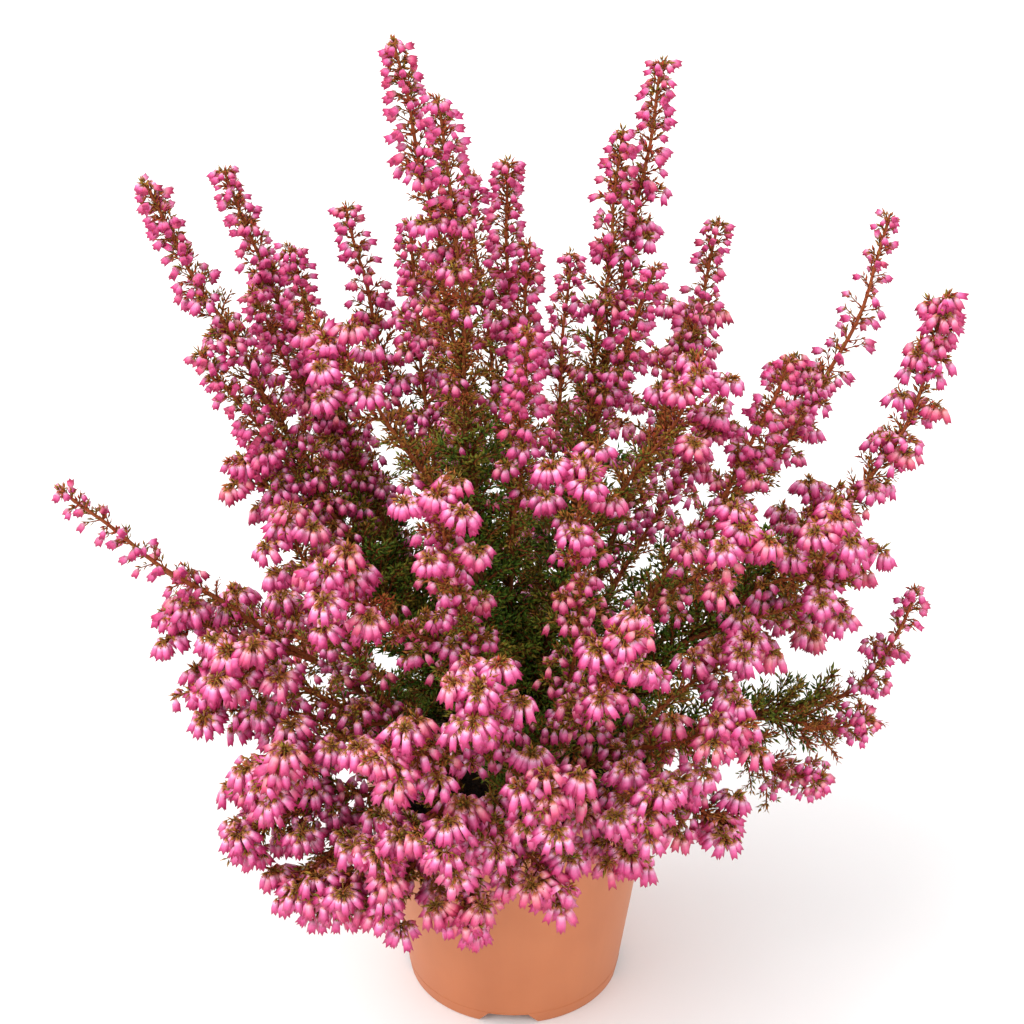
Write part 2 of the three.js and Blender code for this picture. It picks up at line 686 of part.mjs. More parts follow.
function makePot() {
  const step = POT_HEIGHT - RIM_HEIGHT;
  const floorTop = FLOOR_UNDERSIDE + WALL;
  const profile = [
    [0, FLOOR_UNDERSIDE],
    [FOOT_RADIUS - FOOT_WIDTH, FLOOR_UNDERSIDE],
    [FOOT_RADIUS - FOOT_WIDTH, 0],
    [FOOT_RADIUS, 0],
    [FOOT_RADIUS + FOOT_BAND_STEP, FOOT_BAND_HEIGHT],
    [lerp(FOOT_RADIUS, WALL_TOP_RADIUS, FOOT_BAND_HEIGHT / step), FOOT_BAND_HEIGHT],
    [WALL_TOP_RADIUS, step],
    [WALL_TOP_RADIUS + RIM_STEP, step],
    [RIM_RADIUS, POT_HEIGHT - WALL / 2],
    [RIM_RADIUS - WALL / 2, POT_HEIGHT],
    [RIM_RADIUS - WALL, POT_HEIGHT - WALL / 2],
    [innerRadius(step + WALL), step + WALL],
    [innerRadius(step), step],
    [innerRadius(floorTop), floorTop],
    [0, floorTop],
  ];
  let pot = solidOf(lathe(profile, POT_SIDES));
  const notchOutline = new THREE.Shape([
    new THREE.Vector2(-NOTCH_FOOT_WIDTH / 2 - 1, -1),
    new THREE.Vector2(NOTCH_FOOT_WIDTH / 2 + 1, -1),
    new THREE.Vector2(NOTCH_TOP_WIDTH / 2, NOTCH_HEIGHT),
    new THREE.Vector2(-NOTCH_TOP_WIDTH / 2, NOTCH_HEIGHT),
  ]);
  for (let i = 0; i < 4; i++) {
    const notch = new THREE.ExtrudeGeometry(notchOutline, { depth: FOOT_RADIUS, bevelEnabled: false });
    notch.rotateX(Math.PI / 2);
    notch.translate(0, -FOOT_RADIUS / 2, 0);
    notch.rotateZ(THREE.MathUtils.degToRad(NOTCH_TURN + i * 90));
    pot = pot.subtract(solidOf(notch));
    const drain = new THREE.CylinderGeometry(DRAIN_RADIUS, DRAIN_RADIUS, 4 * WALL, DRAIN_SIDES);
    drain.rotateX(Math.PI / 2);
    drain.translate(DRAIN_CIRCLE, 0, FLOOR_UNDERSIDE + WALL / 2);
    drain.rotateZ(THREE.MathUtils.degToRad(45 + i * 90));
    pot = pot.subtract(solidOf(drain));
  }
  return meshOf("pot", geometryOf(pot), COLOURS.pot, 0.55);
}

function makeSoil(axes) {
  const step = POT_HEIGHT - RIM_HEIGHT;
  const bottom = FLOOR_UNDERSIDE + WALL + GAP;
  const profile = [
    [0, bottom],
    [innerRadius(bottom) - GAP, bottom],
    [innerRadius(step) - GAP, step],
    [innerRadius(step + WALL) - GAP, step + WALL + GAP],
    [innerRadius(SOIL_TOP) - GAP, SOIL_TOP],
    [0, SOIL_TOP],
  ];
  let soil = solidOf(lathe(profile, POT_SIDES));
  for (const axis of axes.filter((a) => a.branch === 0)) {
    const foot = axis.curve.v0;
    const radius = (WOOD_RADIUS + GAP) / Math.cos(Math.PI / HOLE_SIDES);
    const hole = new THREE.CylinderGeometry(radius, radius, 2 * (BURIED + GAP), HOLE_SIDES);
    hole.rotateX(Math.PI / 2);
    hole.translate(foot.x, foot.y, SOIL_TOP);
    soil = soil.subtract(solidOf(hole));
  }
  return meshOf("soil", geometryOf(soil), COLOURS.soil, 1);
}

function makeStems(axes) {
  return STEMS.map((_, stem) => {
    const solids = axes.filter((a) => a.stem === stem).map((a) => solidOf(growAxis(a).geometry()));
    const whole = solids.reduce((sum, solid) => sum.add(solid));
    const name = `flowering_stem_${String(stem + 1).padStart(2, "0")}`;
    return meshOf(name, geometryOf(whole), COLOURS.heath, 0.7);
  });
}

const axes = plantAxes();
planGrowth(axes);
const heath = new THREE.Group();
heath.add(makePot(), makeSoil(axes), ...makeStems(axes));

export default heath;
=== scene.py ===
"""A Cape heath in bloom in a round plastic nursery pot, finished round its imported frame.

Lengths are in millimetres until a mesh is made. -Y is the side that faces the viewer, and +Z is up.
"""

import math

import bpy
import numpy as np
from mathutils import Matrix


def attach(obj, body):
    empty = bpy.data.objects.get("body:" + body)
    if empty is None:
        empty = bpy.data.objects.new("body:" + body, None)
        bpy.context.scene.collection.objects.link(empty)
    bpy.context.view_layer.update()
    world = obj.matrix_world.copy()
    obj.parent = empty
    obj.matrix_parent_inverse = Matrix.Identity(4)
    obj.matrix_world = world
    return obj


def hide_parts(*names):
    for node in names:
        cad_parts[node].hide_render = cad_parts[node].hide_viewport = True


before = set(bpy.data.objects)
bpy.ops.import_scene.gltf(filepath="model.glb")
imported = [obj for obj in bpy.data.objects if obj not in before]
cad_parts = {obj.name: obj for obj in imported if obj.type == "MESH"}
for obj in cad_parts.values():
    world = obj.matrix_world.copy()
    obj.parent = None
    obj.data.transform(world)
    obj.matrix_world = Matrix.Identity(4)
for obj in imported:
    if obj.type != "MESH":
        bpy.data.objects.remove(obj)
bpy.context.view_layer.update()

MM = 0.001
UP = np.array([0.0, 0.0, 1.0])
GOLDEN = math.radians(137.5)
STEM_SEED = 700
SOIL_SEED = 82

# Pot and compost, as in the solids but for a finer step above the foot band
FOOT_RADIUS = 37.5
FOOT_WIDTH = 4
FOOT_BAND_HEIGHT = 4.8
FOOT_BAND_STEP = 0.76
RIM_RADIUS = 52.5
RIM_HEIGHT = 14
RIM_STEP = 2.3
POT_HEIGHT = 92
WALL = 1.4
FLOOR_UNDERSIDE = 5
WALL_TOP_RADIUS = 48.6
POT_SIDES = 144
NOTCH_FOOT_WIDTH = 21.5
NOTCH_TOP_WIDTH = 13.8
NOTCH_HEIGHT = 4.4
NOTCH_FLARE = 0.8
NOTCH_TURN = -3
DRAIN_RADIUS = 4.5
DRAIN_CIRCLE = 20
DRAIN_SIDES = 32
EDGE_RADIUS = 0.65
SHARP_ANGLE = math.radians(32)
SOIL_TOP = 82
SOIL_SIDES = 90
SOIL_RINGS = 26
SOIL_HUMPS = (-1.1, 0.5)
CRUMBS = 600
CRUMB_SIZES = (1, 3.2)
GAP = 0.3

# Stems, as in the solids. The more a stem leans, the further out it starts, up to FOOT_CIRCLE at a lean of
# FOOT_FULL_LEAN of half a turn. DROOP is how far a rise of -1 turns a tip down, as a share of half a turn.
BURIED = 10
COLLAR = 1.5
FORKS = [0.62, 0.74, 0.5]
FOOT_CIRCLE = 35
FOOT_SPACING = 7
FOOT_LIMIT = 40
FOOT_FULL_LEAN = 0.56
FOOT_SPREAD = 0.65
FOOT_ROUNDS = 60
DROOP = 0.35
FOLIAGE_RADIUS = 3.6
WHORL_TURN = math.radians(60)
STEM_SIDES = 3

# Wood, finer than in the solids. Forks are thinner than their leader, and a stem sways between its ends,
# which are held straighter over SWAY_HELD. Its bark is fully old at OLD_WOOD from the tip.
WOOD_FOOT_RADIUS = 1.35
WOOD_TIP_RADIUS = 0.5
WOOD_SIDES = 6
WOOD_STEP = 6.0
FORK_THICKNESS = 0.8
TWIG_RADII = (0.42, 0.26)
SIDE_TWIG_RADII = (0.26, 0.2)
TWIG_SIDES = 3
OLD_WOOD = 150
CURVE_STEPS = 201
SWAY = 0.7
SWAY_HELD = 25
SWAY_WAVES = (11, 8)

# Needles. Those inside the bush are longer, on sprays that stand closer and reach further. FEATHER is for
# the side twigs of a spray. Leaves among flowers turn red over RED_DEPTHS, as shares of the bush's reach, and
# over RED_HEIGHTS.
WHORL_SPACING = 2.2
NEEDLE_SLIMNESS = 0.145
NEEDLE_PLAY = 0.25
TONE_PLAY = 0.2
BARE_FOOT = 20
INNER_FROM = 60
INNER_NEEDLE = 4.6
INNER_STEP = 0.75
INNER_REACH = (10, 20)
FEATHER_STEP = 2.8
FEATHER_REACH = (4.0, 6.5)
FEATHER_NEEDLE = 0.78
RED_DEPTHS = (0.35, 0.9)
RED_HEIGHTS = (90, 190)

# Bells. Their stalks are PEDICEL_SHARE of their length, and bent where longer than ARCHED. They are full
# grown at GROWN_BY from the tip. Bushy tips between the two heights of HIGH_UP have ever smaller ones, down
# to HIGH_BELLS of their size. Bells shorter than SMALL_BELL have a plainer shape. Umbels of TIERED_FROM bells
# or more hang them in two tiers.
PEDICEL_SHARE = 0.62
STALK_RADII = (0.2, 0.24)
STALK_TONE = 0.85
ARCHED = 3.4
GROWN_BY = 60
HIGH_UP = (165, 235)
HIGH_BELLS = 0.84
SMALL_BELL = 5.3
BELL_SIZES = (0.84, 1.08)
BELL_PLAY = 0.25
TIERED_FROM = 7
FIRST_TIER = 0.64
SPIRE_CROWN = 4

# Small groups of bells flower between the umbels, but not in the shade, which is nearer to the heart of the
# bush than this share of its reach
SMALL_GROUP = 5
SMALL_SIZES = (0.8, 0.95)
BLOOM = 0.48
BUSH_REACH = np.array([130.0, 112.0, 150.0])
BUSH_HEART = np.array([0.0, 0.0, 140.0])
SHADE = 0.36

# Tiers of shoots up a spire: how far apart they are and how far they reach, at its tip and further down
TIER_STEP = (2.6, 4.0)
TIER_REACH = (1.8, 5.2)
TIER_TWIG_RADII = (0.3, 0.22)
TIER_NEEDLE = 2.9
TIER_SIZES = (0.85, 1.15)

# How far the growth keeps from the pot and the compost
NEEDLE_CLEARANCE = 0.4
BELL_CLEARANCE = 1.3
TWIG_CLEARANCE = 1.5
UMBEL_CLEARANCE = 3

# spire and leafy bound the zones of a stem, measured from its tip: tiers of single shoots, then umbels, then
# leafy twigs. shoots is how many stand in a tier of the spire. twig is how long the umbels' twigs are, pitch
# how far apart the solids' whorls are, umbels how many of those are on each whorl, and bells how many bells
# hang in an umbel. flowers is how far down smaller groups of bells stand between the leaves, reach how far
# they stand out, and step how far apart they are. bud and bell are how long a bell is at the tip and further
# down, and leaf how long a needle is.
HABITS = {
    "spire": dict(
        spire=36, leafy=72, pitch=12, umbels=2, twig=(4, 8), bells=7, shoots=3,
        flowers=140, reach=(5, 10), step=(2.1, 3.1), bud=3.4, bell=4.9, leaf=3.4,
    ),
    "wand": dict(
        spire=56, leafy=56, pitch=12, umbels=2, twig=(5, 8), bells=6, shoots=2,
        flowers=140, reach=(4, 8), step=(2.3, 3.4), bud=3.1, bell=4.8, leaf=3.0,
    ),
    "plume": dict(
        spire=8, leafy=80, pitch=13, umbels=2, twig=(4, 7), bells=9, shoots=4,
        flowers=110, reach=(5, 8), step=(1.6, 2.4), bud=5.1, bell=5.2, leaf=3.6,
    ),
    "bush": dict(
        spire=0, leafy=32, pitch=14, umbels=3, twig=(8, 13), bells=12, shoots=3,
        flowers=100, reach=(7, 11), step=(2.5, 3.7), bud=6.2, bell=6.0, leaf=3.8,
    ),
    "sprig": dict(
        spire=24, leafy=40, pitch=12, umbels=2, twig=(5, 9), bells=6, shoots=2,
        flowers=60, reach=(5, 8), step=(1.7, 2.5), bud=3.6, bell=4.8, leaf=2.9,
    ),
    "leafy": dict(
        spire=0, leafy=26, pitch=12, umbels=1, twig=(4, 6), bells=5, shoots=3,
        flowers=24, reach=(6, 10), step=(1.6, 2.4), bud=4.4, bell=4.8, leaf=2.9,
    ),
}

# Each row is one woody stem of the solids: the tips of its leader and forks with their habits and, for some,
# a rise of their own, then how upright the tip and the start are and how long the curves are. close is how
# near to each other its finer twigs stand, next to the other stems, and bloom which share of them flower.
STEMS = [
    # tall stems in the middle
    dict(
        tips=[(-35, -10, 343, "spire"), (-22, -20, 329, "spire"), (-56, -40, 262, "bush")],
        rise=-0.1, set=2, bloom=0.15, close=0.85,
    ),
    dict(
        tips=[(-2, 20, 296, "spire"), (-14, 54, 280, "spire"), (4, -38, 264, "spire"), (4, 2, 276, "spire")],
        rise=0.8, bloom=0.15, close=0.85,
    ),
    dict(
        tips=[(45, 20, 328, "spire"), (33, 8, 310, "spire"), (56, -32, 248, "bush"), (43, -8, 272, "spire")],
        rise=0.3, bloom=0.2, close=0.9,
    ),
    # the ring of spires round them
    dict(tips=[(-54, 34, 276, "spire"), (-33, 22, 275, "spire")], rise=0.3, set=2),
    dict(
        tips=[(-94, 46, 284, "spire"), (-71, 16, 269, "spire"), (-84, 22, 252, "spire")],
        rise=0.1, set=0.4, close=0.7,
    ),
    dict(
        tips=[(-113, 4, 295, "spire"), (-98, -8, 244, "spire"), (-86, -4, 204, "bush")],
        rise=0.1, set=0.4, close=0.7,
    ),
    dict(tips=[(66, 36, 270, "spire"), (62, 68, 228, "bush")], rise=0.6),
    dict(tips=[(84, -22, 248, "spire"), (68, -62, 212, "bush")], rise=0.5),
    dict(tips=[(119, 24, 276, "wand"), (98, 46, 214, "bush")], rise=0.7, set=0.4, sweep=0.4),
    dict(
        tips=[(134, -6, 262, "plume"), (98, -46, 206, "bush"), (106, -32, 190, "bush")],
        rise=0.8, set=0.12, sweep=0.48,
    ),
    # the front of the bush
    dict(tips=[(-22, -84, 234, "bush"), (-56, -80, 206, "bush")], rise=0.3, bloom=0.8),
    dict(tips=[(32, -98, 194, "bush"), (20, -68, 236, "bush")], rise=0.3, bloom=0.8),
    dict(tips=[(-10, -114, 188, "bush"), (-38, -108, 160, "bush")], rise=0.1, bloom=0.7),
    dict(tips=[(10, -112, 150, "bush"), (-22, -110, 128, "bush")], rise=0),
    dict(tips=[(66, -84, 154, "bush"), (40, -102, 136, "bush"), (74, -50, 166, "bush")], rise=0),
    dict(tips=[(-16, -86, 84, "bush"), (12, -96, 104, "bush")], rise=-0.3, set=2.4, sweep=0.52),
    # the left side
    dict(tips=[(-139, -38, 211, "wand"), (-110, -26, 160, "bush")], rise=0.1, set=0.3),
    dict(
        tips=[(-88, -62, 168, "bush"), (-74, -82, 138, "bush"), (-72, -30, 196, "bush")],
        rise=0.1, close=0.85,
    ),
    dict(tips=[(-101, -38, 139, "bush"), (-86, -56, 112, "bush")], rise=0, close=0.85),
    dict(
        tips=[(-42, -83, 84, "bush"), (-42, -90, 112, "bush"), (-58, -76, 84, "bush")],
        rise=-0.15, set=2.4, sweep=0.52, close=0.75,
    ),
    dict(
        tips=[(-72, -65, 78, "bush"), (-86, -44, 104, "bush"), (-88, -60, 94, "bush")],
        rise=-0.3, set=2.4, sweep=0.52, close=0.75,
    ),
    # the right side
    dict(
        tips=[(131, -14, 162, "sprig"), (116, -32, 124, "leafy", 0.3), (100, -44, 108, "leafy", 0.2)],
        rise=0.8, set=0.05, sweep=0.55, bloom=0.3,
    ),
    dict(tips=[(36, -82, 106, "bush"), (70, -52, 96, "bush")], rise=-0.3, set=2.4, sweep=0.5, close=0.75),
    # the back, from the right round to the left
    dict(tips=[(112, 56, 160, "bush"), (106, 26, 128, "bush")], rise=0.1),
    dict(tips=[(72, 90, 176, "bush")], rise=0),
    dict(tips=[(20, 92, 237, "spire"), (34, 112, 176, "bush")], rise=0.5),
    dict(tips=[(8, 112, 126, "bush"), (30, 96, 92, "bush"), (-28, 100, 104, "bush")], rise=-0.2),
    dict(tips=[(-30, 84, 236, "bush"), (-24, 112, 176, "bush")], rise=0.3),
    dict(tips=[(-78, 78, 226, "spire"), (-66, 98, 152, "bush")], rise=0.3, set=0.7),
    dict(tips=[(-102, 46, 122, "bush"), (-84, 70, 106, "bush")], rise=-0.1, set=1.6),
]


def unit(v):
    return v / np.linalg.norm(v, axis=-1, keepdims=True)


def mix(a, b, t):
    return a + (b - a) * t


def draw(*place):
    """A repeatable draw from 0 to 1 for a place on the plant, the same as in the solids."""
    h = 0x9E3779B9
    for n in place:
        h = ((h ^ (n + 0x7F4A7C15)) * 0x85EBCA6B) & 0xFFFFFFFF
        h ^= h >> 13
        h = (h * 0xC2B2AE35) & 0xFFFFFFFF
        h ^= h >> 16
    return h / 4294967296


def bezier(points, t):
    """Points and directions along a curve through two or more control points."""
    layers = [np.asarray(p, float) for p in points]
    t = np.atleast_1d(t)[:, None]
    while len(layers) > 2:
        layers = [mix(a, b, t) for a, b in zip(layers, layers[1:])]
    return mix(*layers, t), unit((layers[1] - layers[0]) + 0 * t)


class Axis:
    """The line of one stem or fork, from where it starts to its tip."""

    def __init__(self, start, lead, tip, habit, rise, set=1.1, sweep=0.33):
        span = tip - start
        reach = np.linalg.norm(span)
        outward = unit(np.array([span[0], span[1], 0.0]))
        lean = math.atan2(math.hypot(span[0], span[1]), span[2])
        tip_lean = lean * (1 - rise) if rise >= 0 else lean - rise * math.pi * DROOP
        tip_direction = UP * math.cos(tip_lean) + outward * math.sin(tip_lean)
        start_direction = unit(UP * set + unit(span)) if lead is None else lead
        sweep = reach * sweep
        self.controls = [start, start + start_direction * sweep, tip - tip_direction * sweep, tip]
        self.steps = np.linspace(0, 1, CURVE_STEPS)
        points, _ = bezier(self.controls, self.steps)
        self.run = np.concatenate([[0], np.cumsum(np.linalg.norm(np.diff(points, axis=0), axis=1))])
        self.length = self.run[-1]
        self.level = np.array([-outward[1], outward[0], 0.0])
        self.habit = HABITS[habit]
        self.phase = tip[0] * 0.7 + tip[1]
        self.bell_share = np.interp(tip[2], HIGH_UP, (1, HIGH_BELLS)) if habit == "bush" else 1

    def at(self, from_tip):
        """Points and directions at distances from the tip, with a slight natural sway between its ends."""
        s = np.atleast_1d(np.asarray(from_tip, float))
        t = np.interp(self.length - s, self.run, self.steps)
        points, tangents = bezier(self.controls, t)
        held = np.clip(np.minimum(s, self.length - s) / SWAY_HELD, 0, 1)
        across = np.cross(tangents, self.level)
        level_wave, cross_wave = SWAY_WAVES
        points = points + self.level * (SWAY * held * np.sin(s / level_wave + self.phase))[:, None]
        return points + across * (SWAY * held * np.sin(s / cross_wave + 2 * self.phase))[:, None], tangents

    def wood(self, from_tip):
        """Radius of the wood at a distance from the tip."""
        return mix(WOOD_TIP_RADIUS, self.foot_radius, np.clip(from_tip / self.length, 0, 1))

    def bell(self, from_tip):
        """Length of a bell at a distance from the tip."""
        return mix(self.habit["bud"], self.habit["bell"], min(from_tip / GROWN_BY, 1)) * self.bell_share


def frames(tangents, level):
    """Two directions square to each tangent: side, which lies level, and face."""
    side = unit(level - tangents * np.sum(tangents * level, axis=1, keepdims=True))
    return side, np.cross(tangents, side)


def place_feet():
    """Where each stem comes out of the compost: further out the more it leans, and apart from the others."""
    feet = []
    for row in STEMS:
        x, y, z = row["tips"][0][:3]
        lean = math.atan2(math.hypot(x, y), z - SOIL_TOP)
        reach = FOOT_CIRCLE * min(1, lean / (math.pi * FOOT_FULL_LEAN)) ** FOOT_SPREAD
        feet.append(unit(np.array([x, y], float)) * reach)
    for _ in range(FOOT_ROUNDS):
        for i, p in enumerate(feet):
            for q in feet[i + 1:]:
                apart = p - q
                short = FOOT_SPACING - np.linalg.norm(apart)
                if short > 0:
                    shift = unit(apart) * short / 2
                    p += shift
                    q -= shift
            p *= min(1, FOOT_LIMIT / np.linalg.norm(p))
    return [np.array([*p, SOIL_TOP + COLLAR]) for p in feet]


def plant_axes():
    """The axes of each stem, leader first, numbered through the whole plant."""
    stems = []
    index = 0
    for row, foot in zip(STEMS, place_feet()):
        shape = {key: row[key] for key in ("set", "sweep") if key in row}
        axes = []
        for branch, (x, y, z, habit, *own) in enumerate(row["tips"]):
            rise = own[0] if own else row["rise"]
            tip = np.array([x, y, z], float)
            if branch == 0:
                axis = Axis(foot, None, tip, habit, rise, **shape)
                axis.foot_radius = WOOD_FOOT_RADIUS
            else:
                leader = axes[0]
                fork = leader.length * FORKS[branch - 1]
                points, tangents = leader.at(fork)
                lead = unit(tangents[0] + unit(tip - points[0]))
                axis = Axis(points[0], lead, tip, habit, rise, **shape)
                axis.foot_radius = leader.wood(fork) * FORK_THICKNESS
            axis.close = row.get("close", 1)
            axis.bloom = row.get("bloom", BLOOM)
            axis.branch = branch
            axis.index = index
            index += 1
            axes.append(axis)
        stems.append(axes)
    return stems


def clear_of_pot(points, margin):
    """Whether points keep a margin to the pot's wall and rim, and to the compost."""
    points = np.atleast_2d(points)
    r = np.hypot(points[:, 0], points[:, 1])
    z = points[:, 2] - margin
    over = z > POT_HEIGHT
    outside = (r - margin > RIM_RADIUS) & (z > 0)
    inside = (r + margin < WALL_TOP_RADIUS - WALL) & (z > SOIL_TOP)
    return over | outside | inside


def depth_share(point):
    """How far out in the bush a point lies, from 0 at its heart to 1 at its outside."""
    return np.linalg.norm((point - BUSH_HEART) / BUSH_REACH)


class Growth:
    """What grows on one stem, gathered before its meshes are made."""

    def __init__(self, stem):
        self.random = np.random.default_rng(STEM_SEED + stem)
        self.tubes = []
        self.needles = []
        self.bells = []

    def tube(self, points, radii, young, sides=TWIG_SIDES):
        """Wood through points. young is how fresh its bark is, from 0 to 1."""
        self.tubes.append((points, radii, np.broadcast_to(young, len(points)), sides))

    def whorls(self, points, tangents, level, surface, lift, length, tone, count=3):
        """Whorls of needles at points along a shoot.

        surface is the radius they stand on, lift how far they lean up it, and count how many are in each.
        """
        n = len(points)
        side, face = frames(tangents, level)
        turn = np.arange(n) * math.pi / count + self.random.uniform(0, 0.5, n)
        angle = turn[:, None] + np.arange(count) * 2 * math.pi / count
        angle = (angle + self.random.uniform(-NEEDLE_PLAY, NEEDLE_PLAY, (n, count)))[..., None]
        out = side[:, None] * np.cos(angle) + face[:, None] * np.sin(angle)
        rise = np.broadcast_to(lift, n)[:, None] + self.random.uniform(-NEEDLE_PLAY, NEEDLE_PLAY, (n, count))
        direction = unit(out + tangents[:, None] * rise[..., None])
        root = points[:, None] + out * (np.broadcast_to(surface, n)[:, None, None] * 0.6)
        size = np.broadcast_to(length, n)[:, None] * self.random.uniform(0.75, 1.15, (n, count))
        tone = np.broadcast_to(tone, n)[:, None]
        shade = np.clip(tone + self.random.uniform(-TONE_PLAY, TONE_PLAY, (n, count)), 0, 1)
        keep = clear_of_pot((root + direction * size[..., None]).reshape(-1, 3), NEEDLE_CLEARANCE)
        table = np.concatenate([root, direction, size[..., None], shade[..., None]], axis=2)
        self.needles.append(table.reshape(-1, 8)[keep])

    def bell(self, hub, out, axis, length, size, tone, spread):
        """One bell that nods on its stalk. spread is how far out it holds itself."""
        knee = hub + unit(out + axis * 0.9) * length * 0.55
        end = knee + unit(out - axis * 0.3) * length * 0.5
        nod = unit(out * spread - axis - UP * 0.3)
        if clear_of_pot(end + nod * size, BELL_CLEARANCE)[0]:
            bends = [hub, knee, end] if length > ARCHED else [hub, end]
            self.tube(np.array(bends), np.linspace(*STALK_RADII, len(bends)), STALK_TONE)
            self.bells.append(np.array([*end, *nod, size, tone]))

    def umbel(self, hub, direction, level, bells, size, tone):
        """Bells hung like a skirt from the last of a twig, in two tiers where they are many."""
        axis = unit(direction * 0.3 + UP * 0.7)
        side, face = frames(axis[None], level)
        start = self.random.uniform(0, 2 * math.pi)
        first = bells if bells < TIERED_FROM else round(bells * FIRST_TIER)
        tiers = [first, bells - first]
        for tier, count in enumerate(tiers):
            for i in range(count):
                play = self.random.uniform(-BELL_PLAY, BELL_PLAY)
                angle = start + (i + 0.5 * tier) * 2 * math.pi / count + play
                out = side[0] * math.cos(angle) + face[0] * math.sin(angle)
                length = PEDICEL_SHARE * size * self.random.uniform(0.75, 1.2) * (1 - 0.45 * tier)
                spread = self.random.uniform(0.5, 1.25) * (1 - 0.6 * tier)
                shade = np.clip(tone + self.random.uniform(-TONE_PLAY, TONE_PLAY), 0, 1)
                grown = size * self.random.uniform(*BELL_SIZES)
                root = hub - direction * self.random.uniform(0, 0.35) * size
                self.bell(root, out, axis, length, grown, shade, spread)
        points = hub + np.outer([-1.2, 0.3], direction)
        tangents = np.repeat(direction[None], 2, axis=0)
        self.whorls(points, tangents, level, 0.3, np.array([1.0, 2.4]), 1.6 + 0.32 * size, 0.6)

    def twig(self, level, root, tangent, hub, tone, leaf, bow=0.12):
        """A leafy twig from the wood to its hub. It leaves along the stem and turns outward, by its bow."""
        reach = np.linalg.norm(hub - root)
        knee = mix(root, hub, 0.45) + tangent * reach * bow
        t = np.linspace(0, 1, 3)
        points, _ = bezier([root, knee, hub], t)
        self.tube(points, mix(*TWIG_RADII, t), mix(0.35, 0.7, t))
        t = np.linspace(min(2 / reach, 0.5), 0.98, max(2, round(reach / WHORL_SPACING)))
        points, tangents = bezier([root, knee, hub], t)
        self.whorls(points, tangents, level, 0.3, mix(0.8, 1.6, t), leaf * mix(1.0, 0.8, t), tone)
        return tangents[-1]

    def spray(self, level, root, tangent, hub, tone, leaf):
        """A leafy twig with shorter ones to its left and right, like a feather."""
        self.twig(level, root, tangent, hub, tone, leaf, 0.2)
        span = hub - root
        reach = np.linalg.norm(span)
        side = unit(np.cross(span, UP) + 1e-6)
        for i, t in enumerate(np.arange(5.0, reach - 2.5, FEATHER_STEP) / reach):
            hand = 1 if i % 2 else -1
            fork = mix(root, hub, t) + tangent * reach * 0.4 * t * (1 - t)
            swing = unit(side * hand + unit(span) * 0.9 + UP * self.random.uniform(-0.1, 0.5))
            end = fork + swing * self.random.uniform(*FEATHER_REACH) * (1 - 0.45 * t)
            if clear_of_pot(end, TWIG_CLEARANCE)[0]:
                points = np.array([fork, mix(fork, end, 0.5), end])
                self.tube(points[[0, 2]], SIDE_TWIG_RADII, [0.4, 0.6])
                ways = np.repeat(swing[None], 3, axis=0)
                self.whorls(points, ways, level, 0.2, 1.4, leaf * FEATHER_NEEDLE, tone)


def zone(axis, s):
    """A point on a stem, its direction and the two directions across it."""
    points, tangents = axis.at(s)
    side, face = frames(tangents, axis.level)
    return points[0], tangents[0], side[0], face[0]


def grow_umbels(growth, axis):
    """The umbels of the solids, at the same places."""
    habit = axis.habit
    s = habit["pitch"] * 0.75
    k = 0
    while s < min(habit["leafy"], axis.length - 14):
        turn = -k * WHORL_TURN + (draw(axis.index, k, 11) - 0.5) * 0.5
        if s >= habit["spire"]:
            point, tangent, side, face = zone(axis, s)
            along = np.clip((s - habit["spire"]) / max(habit["leafy"] - habit["spire"], 1), 0, 1)
            for i in range(habit["umbels"]):
                angle = turn + (i + 0.5) * 2 * math.pi / STEM_SIDES
                place = (axis.index, k, i)
                length = mix(*habit["twig"], along) * (0.85 + 0.3 * draw(*place, 1)) + FOLIAGE_RADIUS
                lift = 0.75 + 0.5 * draw(*place, 2, 0)
                angle += (draw(*place, 3, 0) - 0.5) * 0.9
                out = side * math.cos(angle) + face * math.sin(angle)
                hub = point + unit(out + tangent * lift) * length
                hang_umbel(growth, axis, point, tangent, hub, habit["bells"], axis.bell(s))
        s += habit["pitch"] * (1 if s < habit["spire"] else 1.25)
        k += 1


def leaf_tone(random, place):
    """Leaves among the flowers are green inside the bush, and redder further out and higher up."""
    red = np.interp(depth_share(place), RED_DEPTHS, (0, 1)) * np.interp(place[2], RED_HEIGHTS, (0.7, 1))
    return random.uniform(mix(0.05, 0.5, red), mix(0.55, 1.0, red))


def hang_umbel(growth, axis, root, tangent, hub, bells, size):
    """An umbel on a leafy twig, where the pot leaves room for it."""
    if not clear_of_pot(hub - UP * UMBEL_CLEARANCE, UMBEL_CLEARANCE)[0]:
        return
    tone = growth.random.uniform(0.1, 0.9)
    direction = growth.twig(axis.level, root, tangent, hub, leaf_tone(growth.random, hub), axis.habit["leaf"])
    count = max(2, bells + int(growth.random.integers(-2, 3)))
    growth.umbel(hub, direction, axis.level, count, size, tone)


